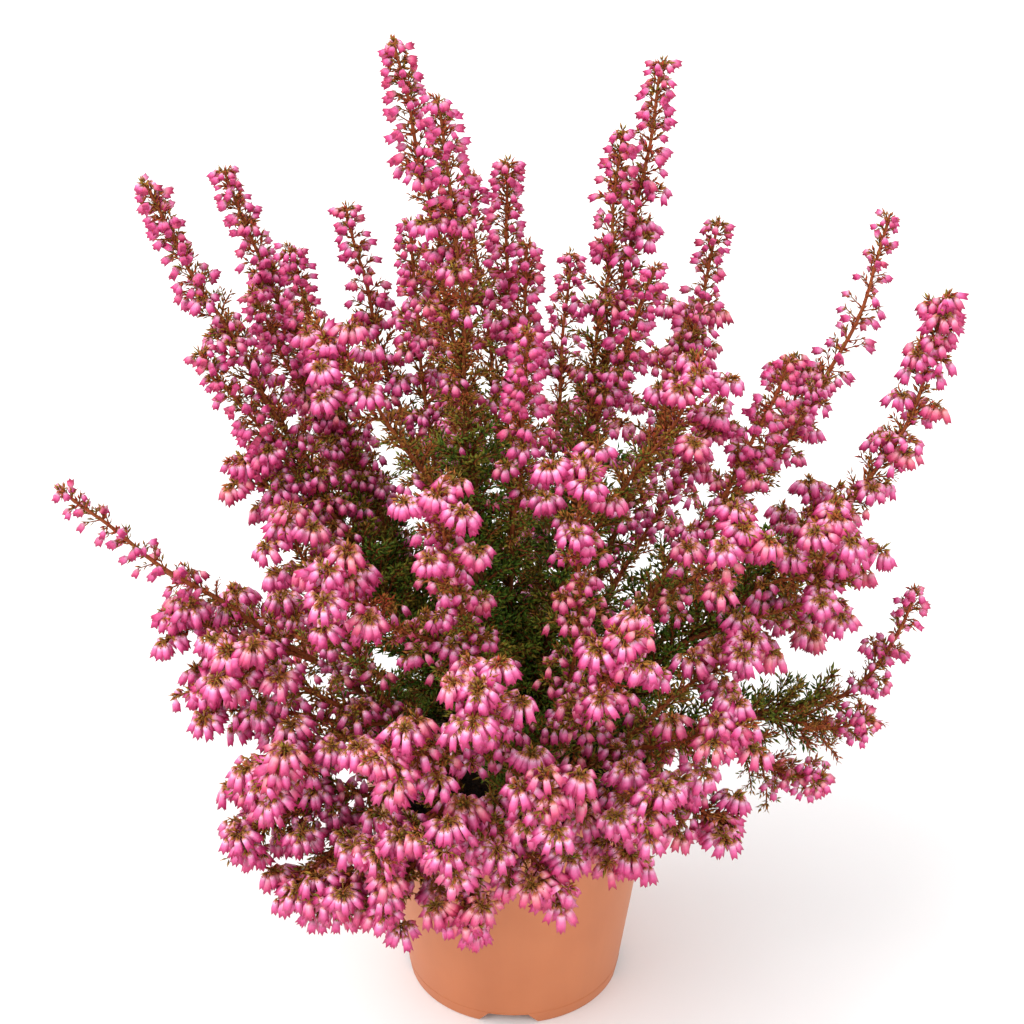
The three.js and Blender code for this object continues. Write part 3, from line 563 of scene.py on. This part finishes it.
def grow_fill(growth, axis):
    """Small groups of bells on short twigs between the umbels, and leafy shoots among them and below."""
    habit = axis.habit
    random = growth.random
    s = habit["spire"] + 2.0
    k = 0
    while s < axis.length - 12:
        point, tangent, side, face = zone(axis, s)
        angle = k * GOLDEN + axis.phase
        out = unit(side * math.cos(angle) + face * math.sin(angle) + tangent * random.uniform(0.6, 1.3))
        reach = mix(*habit["reach"], min(s / 100, 1)) * random.uniform(0.75, 1.2)
        flowering = s < habit["flowers"]
        inner = s > max(habit["flowers"], INNER_FROM)
        if flowering and depth_share(point + out * 8) > SHADE and random.uniform() < axis.bloom:
            size = axis.bell(s) * random.uniform(*SMALL_SIZES)
            hang_umbel(growth, axis, point, tangent, point + out * reach, SMALL_GROUP, size)
        else:
            hub = point + out * (reach if flowering and not inner else random.uniform(*INNER_REACH))
            if clear_of_pot(np.array([hub, mix(point, hub, 0.5)]), TWIG_CLEARANCE).all():
                leaf = INNER_NEEDLE if inner else habit["leaf"]
                tone = random.uniform(0.0, 0.4) if inner else leaf_tone(random, hub)
                growth.spray(axis.level, point, tangent, hub, tone, leaf)
        s += random.uniform(*habit["step"]) * axis.close * (INNER_STEP if inner else 1)
        k += 1


def grow_spire(growth, axis):
    """Tiers of short shoots up the slender top of a stem, each with a bell or two and a tuft of leaves."""
    random = growth.random
    s = 1.6
    k = 0
    while s < axis.habit["spire"] + 6:
        count = 2 if s < 6 else axis.habit["shoots"]
        start = k * math.pi / 3 + axis.phase
        for i in range(count):
            point, tangent, side, face = zone(axis, s + random.uniform(-0.5, 0.5))
            angle = start + (i + random.uniform(-0.18, 0.18)) * 2 * math.pi / count
            out = side * math.cos(angle) + face * math.sin(angle)
            direction = unit(out + tangent * random.uniform(0.4, 1.0))
            hub = point + direction * mix(*TIER_REACH, min(s / 45, 1)) * random.uniform(0.75, 1.25)
            t = np.linspace(0, 1, 3)
            curve, ways = bezier([point, mix(point, hub, 0.6) + UP * 0.5, hub], t)
            growth.tube(curve[::2], TIER_TWIG_RADII, [0.5, 0.76])
            growth.whorls(curve, ways, axis.level, 0.25, 1.5, TIER_NEEDLE, random.uniform(0.5, 1.0))
            for _ in range(int(random.integers(1, 3))):
                swing = unit(direction + side * random.uniform(-0.7, 0.7) + face * random.uniform(-0.7, 0.7))
                size = axis.bell(s) * random.uniform(*TIER_SIZES)
                tone = random.uniform(0.1, 0.9)
                growth.bell(hub, swing, UP, random.uniform(0.6, 1.5), size, tone, random.uniform(0.6, 2))
        s += mix(*TIER_STEP, min(s / 30, 1)) * random.uniform(0.85, 1.15) * axis.close
        k += 1


def grow_axis(growth, axis):
    """The wood of one stem or fork, the needles on it and all that it bears."""
    foot = axis.length
    s = np.append(np.arange(0, foot - WOOD_STEP / 2, WOOD_STEP), foot)
    points, _ = axis.at(s)
    radii = axis.wood(s)
    young = mix(0.62, 0.05, np.clip(s / OLD_WOOD, 0, 1))
    if axis.branch == 0:
        points = np.vstack([points, points[-1] - UP * (BURIED + COLLAR)])
        radii = np.append(radii, radii[-1])
        young = np.append(young, young[-1])
    growth.tube(points, radii, young, WOOD_SIDES)

    leafy = np.arange(axis.habit["spire"] + 2, foot - BARE_FOOT, WHORL_SPACING)
    points, tangents = axis.at(leafy)
    tone = mix(0.8, 0.3, leafy / foot)
    growth.whorls(points, tangents, axis.level, axis.wood(leafy), 0.9, axis.habit["leaf"], tone, 4)

    grow_spire(growth, axis)
    grow_umbels(growth, axis)
    grow_fill(growth, axis)
    tip, way = axis.at(0)
    bells = SPIRE_CROWN if axis.habit["spire"] else axis.habit["bells"]
    growth.umbel(tip[0], way[0], axis.level, bells, axis.bell(0), growth.random.uniform(0.1, 0.9))


# Shapes that are repeated, as points with z along the piece and triangles

def ring(radius, z, sides, turn=0.0):
    """A circle of points square to z."""
    angle = turn + np.arange(sides) * 2 * math.pi / sides
    return np.stack([radius * np.cos(angle), radius * np.sin(angle), np.broadcast_to(z, sides)], axis=1)


def stitch(rows):
    """Closes a stack of rings, whose first and last may be single points, with triangles that face out."""
    points = np.vstack(rows)
    starts = np.cumsum([0] + [len(r) for r in rows])
    triangles = []
    for a, b, first in zip(rows, rows[1:], range(len(rows))):
        low, high = starts[first], starts[first + 1]
        n = max(len(a), len(b))
        for i in range(n):
            j = (i + 1) % n
            if len(a) > 1:
                triangles.append((low + i, low + j, high + (i if len(b) > 1 else 0)))
            if len(b) > 1:
                triangles.append((low + (j if len(a) > 1 else 0), high + j, high + i))
    return points, np.array(triangles)


def needle_shape():
    """A slim needle with a keel, as shares of its length and width."""
    points = np.array([[0, 0, 0], [-1, 0.7, 0.45], [1, 0.7, 0.45], [0, 0.2, 1.0]], float)
    return points, np.array([(0, 2, 1), (1, 2, 3), (0, 1, 3), (0, 3, 2)])


def bell_shape(body, tip, notch):
    """A four-sided bell with a lobe at each corner, as shares of its length and of its greatest radius.

    body is the radius and height of each ring, and tip and notch those of a lobe's point and of the gap
    beside it.
    """
    bottom, triangles = stitch([np.array([[0.0, 0, -0.02]]), *[ring(r, z, 4) for r, z in body]])
    lobes = ring(np.tile([tip[0], notch[0]], 4), np.tile([tip[1], notch[1]], 4), 8)
    points = np.vstack([bottom, lobes, [[0.0, 0, 0.5]]])
    first = len(bottom)
    heart = first + 8
    mouth = []
    for i in range(4):
        a, b = first - 4 + i, first - 4 + (i + 1) % 4
        left, middle, right = (first + (2 * i + k) % 8 for k in range(3))
        mouth += [(a, b, middle), (a, middle, left), (b, right, middle)]
        mouth += [(left, middle, heart), (middle, right, heart)]
    return points, np.vstack([triangles, mouth])


def calyx_shape():
    """The four sepals that cup a bell's shoulder."""
    return stitch([np.array([[0.0, 0, -0.1]]), ring(0.84, 0.2, 4), np.array([[0.0, 0, 0.05]])])


def scatter(shape, table, width, random):
    """Copies of a shape at the rows of a table of place, direction, size and tone. width is their radius."""
    points, triangles = shape
    n = len(table)
    place, way, size = table[:, :3], table[:, 3:6], table[:, 6]
    away = np.where(np.abs(way[:, 2:]) > 0.9, [[1.0, 0, 0]], [[0, 0, 1.0]])
    side = unit(np.cross(away, way))
    face = np.cross(way, side)
    spin = random.uniform(0, 2 * math.pi, n)[:, None]
    wide = np.broadcast_to(width, n)[:, None]
    first = (side * np.cos(spin) + face * np.sin(spin)) * wide
    second = (face * np.cos(spin) - side * np.sin(spin)) * wide
    made = place[:, None] + first[:, None] * points[None, :, :1]
    made = made + second[:, None] * points[None, :, 1:2]
    made = made + way[:, None] * (points[None, :, 2] * size[:, None])[..., None]
    count = len(points)
    faces = triangles[None] + (np.arange(n) * count)[:, None, None]
    run = np.tile(points[:, 2], n)
    piece = dict(points=made.reshape(-1, 3), triangles=faces.reshape(-1, 3))
    return piece | dict(run=run, tone=np.repeat(table[:, 7], count))


def tube_shape(points, radii, young, sides):
    """A closed tube through points, with a flat cap at each end."""
    tangents = unit(np.gradient(points, axis=0))
    level = np.array([0.0, 1.0, 0.0]) if abs(tangents[0, 1]) < 0.8 else np.array([1.0, 0.0, 0.0])
    side, face = frames(tangents, level)
    rows = []
    for p, a, b, r in zip(points, side, face, radii):
        circle = ring(r, 0, sides)
        rows.append(p + circle[:, :1] * a + circle[:, 1:2] * b)
    made, walls = stitch(rows)
    last = len(made) - sides
    caps = [[(0, i + 1, i), (last, last + i, last + i + 1)] for i in range(1, sides - 1)]
    triangles = np.vstack([walls, *caps])
    return dict(points=made, triangles=triangles, young=np.repeat(young, sides))


def make_piece(name, parts, material, replaces):
    """One mesh from points, triangles and named numbers for its points."""
    mesh = bpy.data.meshes.new(name)
    shift = np.cumsum([0] + [len(p["points"]) for p in parts])
    points = np.vstack([p["points"] for p in parts]) * MM
    triangles = np.vstack([p["triangles"] + s for p, s in zip(parts, shift)])
    mesh.vertices.add(len(points))
    mesh.vertices.foreach_set("co", points.astype(np.float32).ravel())
    mesh.loops.add(triangles.size)
    mesh.loops.foreach_set("vertex_index", triangles.astype(np.int32).ravel())
    mesh.polygons.add(len(triangles))
    mesh.polygons.foreach_set("loop_start", np.arange(0, triangles.size, 3, dtype=np.int32))
    mesh.update(calc_edges=True)
    mesh.validate()
    mesh.shade_smooth()
    for key in parts[0]:
        if key not in ("points", "triangles"):
            values = np.concatenate([p[key] for p in parts]).astype(np.float32)
            mesh.attributes.new(key, "FLOAT", "POINT").data.foreach_set("value", values)
    mesh.materials.append(material)
    piece = bpy.data.objects.new(name, mesh)
    bpy.context.scene.collection.objects.link(piece)
    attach(piece, "root")
    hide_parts(*replaces)
    return piece


OPEN_BELL = bell_shape([(0.86, 0.14), (1.12, 0.55)], (1.3, 1.0), (0.8, 0.8))
SLIM_BELL = bell_shape([(0.88, 0.14), (1.12, 0.56)], (0.9, 1.0), (0.74, 0.84))
YOUNG_BELL = bell_shape([(1.15, 0.42)], (1.2, 1.0), (0.86, 0.84))


def bell_radius(size):
    """Small bells are rounder than long ones."""
    return size * mix(0.3, 0.215, np.clip((size - 3) / 3, 0, 1))


def make_stem(number, axes, materials):
    """The wood, needles and bells of one stem, which together stand for its solid."""
    node = f"flowering_stem_{number:02d}"
    growth = Growth(number)
    for axis in axes:
        grow_axis(growth, axis)
    bells = np.array(growth.bells)
    wood = [tube_shape(*tube) for tube in growth.tubes]
    small = bells[:, 6] < SMALL_BELL
    if not small.all():
        long = bells[~small]
        calyx = scatter(calyx_shape(), long, bell_radius(long[:, 6]), growth.random)
        young = 0.9 + 0.1 * calyx["tone"]
        wood.append(dict(points=calyx["points"], triangles=calyx["triangles"], young=young))
    make_piece(f"{node}_wood", wood, materials["wood"], [node])

    pick = growth.random.uniform(0, 1, len(bells))
    kinds = [(OPEN_BELL, ~small & (pick < 0.6)), (SLIM_BELL, ~small & (pick >= 0.6)), (YOUNG_BELL, small)]
    petals = [
        scatter(shape, bells[chosen], bell_radius(bells[chosen, 6]), growth.random)
        for shape, chosen in kinds if chosen.any()
    ]
    make_piece(f"{node}_bells", petals, materials["bells"], [node])
    needles = np.vstack(growth.needles)
    needles = scatter(needle_shape(), needles, needles[:, 6] * NEEDLE_SLIMNESS, growth.random)
    make_piece(f"{node}_needles", [needles], materials["needles"], [node])


# Materials

class Nodes:
    """A node material with its shader, and short calls for the nodes that feed it."""

    def __init__(self, name):
        self.material = bpy.data.materials.new(name)
        self.material.use_nodes = True
        self.tree = self.material.node_tree
        self.shader = self.tree.nodes["Principled BSDF"]

    def add(self, kind, inputs=(), **settings):
        node = self.tree.nodes.new(kind)
        for key, value in settings.items():
            setattr(node, key, value)
        for key, value in dict(inputs).items():
            self.put(value, node.inputs[key])
        return node

    def put(self, value, socket):
        if isinstance(value, bpy.types.NodeSocket):
            self.tree.links.new(value, socket)
        else:
            socket.default_value = value

    def attribute(self, name):
        return self.add("ShaderNodeAttribute", attribute_name=name).outputs["Fac"]

    def noise(self, scale, detail=4.0, roughness=0.55, vector=None):
        inputs = {"Scale": scale, "Detail": detail, "Roughness": roughness}
        inputs["Vector"] = vector or self.place()
        return self.add("ShaderNodeTexNoise", inputs).outputs["Fac"]

    def place(self):
        return self.add("ShaderNodeTexCoord").outputs["Object"]

    def ramp(self, fac, *stops):
        """A colour ramp through (position, colour) stops."""
        node = self.add("ShaderNodeValToRGB", {"Fac": fac})
        elements = node.color_ramp.elements
        while len(elements) < len(stops):
            elements.new(0.5)
        for element, (position, colour) in zip(elements, stops):
            element.position = position
            element.color = (*colour, 1)
        return node.outputs["Color"]

    def blend(self, fac, a, b, mode="MIX"):
        node = self.add("ShaderNodeMix", data_type="RGBA", blend_type=mode)
        for value, socket in ((fac, node.inputs[0]), (a, node.inputs[6]), (b, node.inputs[7])):
            self.put((*value, 1) if isinstance(value, tuple) else value, socket)
        return node.outputs[2]

    def bump(self, height, distance, strength=1.0):
        node = self.add("ShaderNodeBump", {"Height": height, "Distance": distance, "Strength": strength})
        self.put(node.outputs["Normal"], self.shader.inputs["Normal"])

    def finish(self, **values):
        for key, value in values.items():
            self.put(value, self.shader.inputs[key.replace("_", " ")])
        return self.material


def rgb(code):
    """A colour from its sRGB hex code, in linear light."""
    parts = [int(code[i:i + 2], 16) / 255 for i in (0, 2, 4)]
    return tuple(p / 12.92 if p <= 0.04045 else ((p + 0.055) / 1.055) ** 2.4 for p in parts)


def bell_material():
    """Papery petals, from magenta to coral by bell: pale on the shoulder as a painted highlight, and deep at
    the lobes, partly their own colour and partly painted shade.
    """
    n = Nodes("heath_bells")
    run = n.attribute("run")
    # Both ramps run along the bell from the calyx to the lobes: the pale shoulder is a painted highlight, and
    # the deepening towards the lobes is partly the petal's own colour and partly painted shade
    cool = n.ramp(
        run,
        (0.0, rgb("bc6440")), (0.1, rgb("e08c8c")), (0.2, rgb("ffc4e2")), (0.4, rgb("f078b2")),
        (0.7, rgb("de4888")), (1.0, rgb("c42a5a")),
    )
    warm = n.ramp(
        run,
        (0.0, rgb("a8643c")), (0.1, rgb("d07060")), (0.24, rgb("fba6a0")), (0.6, rgb("e85a76")),
        (1.0, rgb("bc2c50")),
    )
    share = n.add("ShaderNodeMapRange", {"Value": n.attribute("tone"), "From Min": 0.55, "From Max": 1.1})
    colour = n.blend(share.outputs["Result"], cool, warm)
    streaks = n.noise(900, 2.0, vector=n.place())
    colour = n.blend(0.35, colour, n.ramp(streaks, (0.3, rgb("c8b8c0")), (0.7, rgb("ffffff"))), "MULTIPLY")
    n.bump(streaks, 0.0002, 0.5)
    return n.finish(Base_Color=colour, Roughness=0.36, Specular_IOR_Level=0.4)


def needle_material():
    """Firm needles, from fresh green through olive to yellow or red-brown by shoot, paler at the tip."""
    n = Nodes("heath_needles")
    colour = n.ramp(
        n.attribute("tone"),
        (0.0, rgb("5c8426")), (0.25, rgb("8c9a32")), (0.5, rgb("ba9036")), (0.75, rgb("d07638")),
        (1.0, rgb("d8543a")),
    )
    tip = n.ramp(n.attribute("run"), (0.0, rgb("8a8a8a")), (0.6, rgb("e8e8e8")), (1.0, rgb("ffffff")))
    colour = n.blend(1.0, colour, tip, "MULTIPLY")
    mottle = n.noise(500, 2.0)
    colour = n.blend(0.3, colour, n.ramp(mottle, (0.35, rgb("9a9a8a")), (0.65, rgb("ffffff"))), "MULTIPLY")
    n.bump(mottle, 0.0002, 0.4)
    return n.finish(Base_Color=colour, Roughness=0.6, Specular_IOR_Level=0.2)


def wood_material():
    """Thin ribbed bark, brown on the old wood, red on young shoots and olive to orange on the stalks."""
    n = Nodes("heath_wood")
    colour = n.ramp(
        n.attribute("young"),
        (0.0, rgb("74442a")), (0.3, rgb("a0562e")), (0.6, rgb("b05c36")), (0.78, rgb("a86c38")),
        (0.9, rgb("ae8236")), (1.0, rgb("cc7850")),
    )
    stretched = n.add("ShaderNodeMapping", {"Vector": n.place(), "Scale": (1.0, 1.0, 0.25)}).outputs["Vector"]
    bark = n.noise(900, 5.0, 0.65, vector=stretched)
    colour = n.blend(0.6, colour, n.ramp(bark, (0.3, rgb("807870")), (0.7, rgb("ffffff"))), "MULTIPLY")
    n.bump(bark, 0.0003, 0.8)
    return n.finish(Base_Color=colour, Roughness=0.7, Specular_IOR_Level=0.15)


def pot_material():
    """Terracotta-coloured plastic with a fine moulded grain, faint upright flow marks and a few scuffs."""
    n = Nodes("pot_plastic")
    upright = n.add("ShaderNodeMapping", {"Vector": n.place(), "Scale": (1.0, 1.0, 0.06)}).outputs["Vector"]
    flow = n.noise(60, 3.0, vector=upright)
    cloud = n.noise(22, 4.0)
    grain = n.noise(2600, 2.0)
    colour = n.ramp(cloud, (0.3, rgb("b96c42")), (0.7, rgb("c3774c")))
    colour = n.blend(0.25, colour, n.ramp(flow, (0.35, rgb("d8d8d8")), (0.65, rgb("ffffff"))), "MULTIPLY")
    rough = n.add("ShaderNodeMapRange", {"Value": cloud, "To Min": 0.42, "To Max": 0.54}).outputs["Result"]
    n.bump(n.blend(0.5, grain, flow), 0.00012, 0.35)
    return n.finish(Base_Color=colour, Roughness=rough, Specular_IOR_Level=0.45)


def soil_material():
    """Dark peat with paler fibres and crumbs."""
    n = Nodes("compost")
    crumbs = n.noise(420, 8.0, 0.7)
    colour = n.ramp(
        crumbs,
        (0.3, rgb("120c08")), (0.52, rgb("2e2018")), (0.7, rgb("4d3828")), (0.85, rgb("7a6048")),
    )
    n.bump(crumbs, 0.001, 1.0)
    return n.finish(Base_Color=colour, Roughness=0.95, Specular_IOR_Level=0.2)


# Pot and soil

def lathe(profile, sides):
    """A closed solid of revolution. The profile starts and ends on the axis and runs up the outside."""
    rows = [ring(r, z, sides) if r > 0 else np.array([[0.0, 0.0, z]]) for r, z in profile]
    return stitch(rows)


def rounded(profile, corners, radius, steps=3):
    """Replaces chosen corners of a profile with short arcs."""
    made = []
    for i, corner in enumerate(profile):
        if i not in corners:
            made.append(corner)
            continue
        p, a, b = (np.array(profile[k], float) for k in (i, i - 1, i + 1))
        cut = min(radius, np.linalg.norm(a - p) * 0.45, np.linalg.norm(b - p) * 0.45)
        bend, _ = bezier([p + unit(a - p) * cut, p, p + unit(b - p) * cut], np.linspace(0, 1, steps + 1))
        made.extend(tuple(q) for q in bend)
    return made


def inner_radius(z):
    """Radius of the pot's inside at a height."""
    step = POT_HEIGHT - RIM_HEIGHT
    if z <= step:
        return mix(FOOT_RADIUS, WALL_TOP_RADIUS, z / step) - WALL
    return mix(WALL_TOP_RADIUS + RIM_STEP, RIM_RADIUS, (z - step) / RIM_HEIGHT) - WALL


def cutter(points, triangles):
    """A solid to cut with, as an object that is removed after the cut."""
    mesh = bpy.data.meshes.new("cutter")
    mesh.from_pydata((points * MM).tolist(), [], triangles.tolist())
    made = bpy.data.objects.new("cutter", mesh)
    bpy.context.scene.collection.objects.link(made)
    return made


def cut(piece, points, triangles):
    """Takes a solid out of a piece."""
    tool = cutter(points, triangles)
    modifier = piece.modifiers.new("cut", "BOOLEAN")
    modifier.operation = "DIFFERENCE"
    modifier.solver = "EXACT"
    modifier.object = tool
    graph = bpy.context.evaluated_depsgraph_get()
    whole = bpy.data.meshes.new_from_object(piece.evaluated_get(graph))
    piece.modifiers.clear()
    piece.data = whole
    bpy.data.objects.remove(tool)


def turned(points, degrees):
    """Points turned round the pot's axis."""
    a = math.radians(degrees)
    turn = np.array([[math.cos(a), math.sin(a), 0], [-math.sin(a), math.cos(a), 0], [0, 0, 1]])
    return points @ turn


def make_pot(material):
    """The pot with its edges rounded, and four notches and four drain holes cut into it."""
    step = POT_HEIGHT - RIM_HEIGHT
    floor_top = FLOOR_UNDERSIDE + WALL
    profile = [
        (0, FLOOR_UNDERSIDE),
        (FOOT_RADIUS - FOOT_WIDTH, FLOOR_UNDERSIDE),
        (FOOT_RADIUS - FOOT_WIDTH, 0),
        (FOOT_RADIUS, 0),
        (FOOT_RADIUS + FOOT_BAND_STEP, FOOT_BAND_HEIGHT),
        (mix(FOOT_RADIUS, WALL_TOP_RADIUS, FOOT_BAND_HEIGHT / step), FOOT_BAND_HEIGHT),
        (WALL_TOP_RADIUS, step),
        (WALL_TOP_RADIUS + RIM_STEP, step),
        (RIM_RADIUS, POT_HEIGHT),
        (RIM_RADIUS - WALL, POT_HEIGHT),
        (inner_radius(step + WALL), step + WALL),
        (inner_radius(step), step),
        (inner_radius(floor_top), floor_top),
        (0, floor_top),
    ]
    foot_band = (4, 5)
    edges = {i for i in range(1, len(profile) - 1) if i not in foot_band}
    profile = rounded(profile, edges, EDGE_RADIUS)
    points, triangles = lathe(profile, POT_SIDES)
    wall = dict(points=points, triangles=triangles)
    pot = make_piece("pot_shell", [wall], material, ["pot"])
    for i in range(4):
        foot, top = NOTCH_FOOT_WIDTH / 2 + NOTCH_FLARE, NOTCH_TOP_WIDTH / 2
        outline = [(-foot, -1), (foot, -1), (top, NOTCH_HEIGHT), (-top, NOTCH_HEIGHT)]
        ends = [[(x, y, z) for x, z in outline] for y in (-1.5 * FOOT_RADIUS, -FOOT_RADIUS / 2)]
        block = np.array(ends[0] + ends[1], float)
        sides = [(a, b, b + 4, a + 4) for a, b in ((0, 1), (1, 2), (2, 3), (3, 0))]
        faces = [(0, 3, 2, 1), (4, 5, 6, 7)] + sides
        split = np.array([(f[0], f[k], f[k + 1]) for f in faces for k in (1, 2)])
        cut(pot, turned(block, NOTCH_TURN + 90 * i), split[:, ::-1])
        plug = [(0, 0), (DRAIN_RADIUS, 0), (DRAIN_RADIUS, 4 * WALL), (0, 4 * WALL)]
        drain, drain_faces = lathe(plug, DRAIN_SIDES)
        drain = drain + np.array([DRAIN_CIRCLE, 0, FLOOR_UNDERSIDE - WALL])
        cut(pot, turned(drain, 45 + 90 * i), drain_faces)
    pot.data.shade_smooth()
    pot.data.set_sharp_from_angle(angle=SHARP_ANGLE)


def make_soil(material, random):
    """Compost with a rough top and crumbs of peat on it."""
    bottom = FLOOR_UNDERSIDE + WALL + GAP
    edge = inner_radius(SOIL_TOP) - GAP
    step = POT_HEIGHT - RIM_HEIGHT
    rows = [np.array([[0.0, 0.0, bottom]]), ring(inner_radius(bottom) - GAP, bottom, SOIL_SIDES)]
    rows.append(ring(inner_radius(step) - GAP, step, SOIL_SIDES))
    rows.append(ring(inner_radius(step + WALL) - GAP, step + WALL + GAP, SOIL_SIDES))
    for r in np.linspace(edge, 1.5, SOIL_RINGS):
        top = ring(r, SOIL_TOP, SOIL_SIDES)
        top[:, 2] += random.uniform(*SOIL_HUMPS, SOIL_SIDES) * (0.2 if r == edge else 1)
        rows.append(top)
    rows.append(np.array([[0.0, 0.0, SOIL_TOP]]))
    points, triangles = stitch(rows)
    radius = edge * 0.97 * np.sqrt(random.uniform(0, 1, CRUMBS))
    angle = random.uniform(0, 2 * math.pi, CRUMBS)
    height = np.full(CRUMBS, SOIL_TOP - 0.4)
    place = np.stack([radius * np.cos(angle), radius * np.sin(angle), height], axis=1)
    way = unit(random.normal(size=(CRUMBS, 3)))
    size = random.uniform(*CRUMB_SIZES, CRUMBS)
    table = np.concatenate([place, way, size[:, None], np.zeros((CRUMBS, 1))], axis=1)
    ends = [np.array([[0.0, 0.0, z]]) for z in (-0.4, 0.6)]
    crumb = stitch([ends[0], ring(0.8, -0.1, 5), ring(0.7, 0.3, 5, 0.6), ends[1]])
    crumbs = scatter(crumb, table, 0.9, random)
    crumbs = dict(points=crumbs["points"], triangles=crumbs["triangles"])
    parts = [dict(points=points, triangles=triangles), crumbs]
    make_piece("soil_body", parts, material, ["soil"])


# Studio

CAMERA_DISTANCE = 750
CAMERA_ELEVATION = math.radians(28)
CAMERA_TARGET = np.array([0, 0, 183.7])
CAMERA_LENS = 80.6
FRAME_PIXELS = 1024
POT_AXIS_PIXEL = 514
RAISED_PIXELS = 1.5
WORLD_STRENGTH = 1.12
KEY = dict(heading=-66, elevation=46, strength=1.9, blur=50)
FILL = dict(heading=40, elevation=35, strength=0.45, blur=60)
FLOOR_REACH = 12
FLOOR_COLOUR = (0.9, 0.9, 0.9, 1)


def make_camera():
    data = bpy.data.cameras.new("camera")
    data.sensor_width = 36
    data.lens = CAMERA_LENS
    data.shift_x = (FRAME_PIXELS / 2 - POT_AXIS_PIXEL) / FRAME_PIXELS
    data.shift_y = -RAISED_PIXELS / FRAME_PIXELS
    data.clip_end = 20
    camera = bpy.data.objects.new("camera", data)
    bpy.context.scene.collection.objects.link(camera)
    back = np.array([0, -math.cos(CAMERA_ELEVATION), math.sin(CAMERA_ELEVATION)])
    camera.location = (CAMERA_TARGET + back * CAMERA_DISTANCE) * MM
    camera.rotation_euler = (math.pi / 2 - CAMERA_ELEVATION, 0, 0)
    bpy.context.scene.camera = camera


def make_sun(name, heading, elevation, strength, blur):
    """A broad soft light from far away. heading is its compass side as seen from above, 0 in front."""
    data = bpy.data.lights.new(name, "SUN")
    data.energy = strength
    data.angle = math.radians(blur)
    light = bpy.data.objects.new(name, data)
    bpy.context.scene.collection.objects.link(light)
    light.rotation_euler = (math.radians(90 - elevation), 0, math.radians(heading))


def make_studio():
    """A pale floor, a white world and two soft lights."""
    corners = [(x * FLOOR_REACH, y * FLOOR_REACH, 0) for x, y in ((-1, -1), (1, -1), (1, 1), (-1, 1))]
    floor_mesh = bpy.data.meshes.new("floor")
    floor_mesh.from_pydata(corners, [], [(0, 1, 2, 3)])
    floor = bpy.data.objects.new("floor", floor_mesh)
    bpy.context.scene.collection.objects.link(floor)
    pale = Nodes("floor").finish(Base_Color=FLOOR_COLOUR, Roughness=0.9, Specular_IOR_Level=0.1)
    floor_mesh.materials.append(pale)
    world = bpy.data.worlds.new("studio")
    world.use_nodes = True
    background = world.node_tree.nodes["Background"]
    background.inputs["Color"].default_value = (1, 1, 1, 1)
    background.inputs["Strength"].default_value = WORLD_STRENGTH
    bpy.context.scene.world = world
    make_sun("key", **KEY)
    make_sun("fill", **FILL)
    bpy.context.scene.view_settings.view_transform = "Standard"


def main():
    make_camera()
    materials = {"wood": wood_material(), "needles": needle_material(), "bells": bell_material()}
    for number, axes in enumerate(plant_axes(), start=1):
        make_stem(number, axes, materials)
    make_pot(pot_material())
    make_soil(soil_material(), np.random.default_rng(SOIL_SEED))
    make_studio()


main()
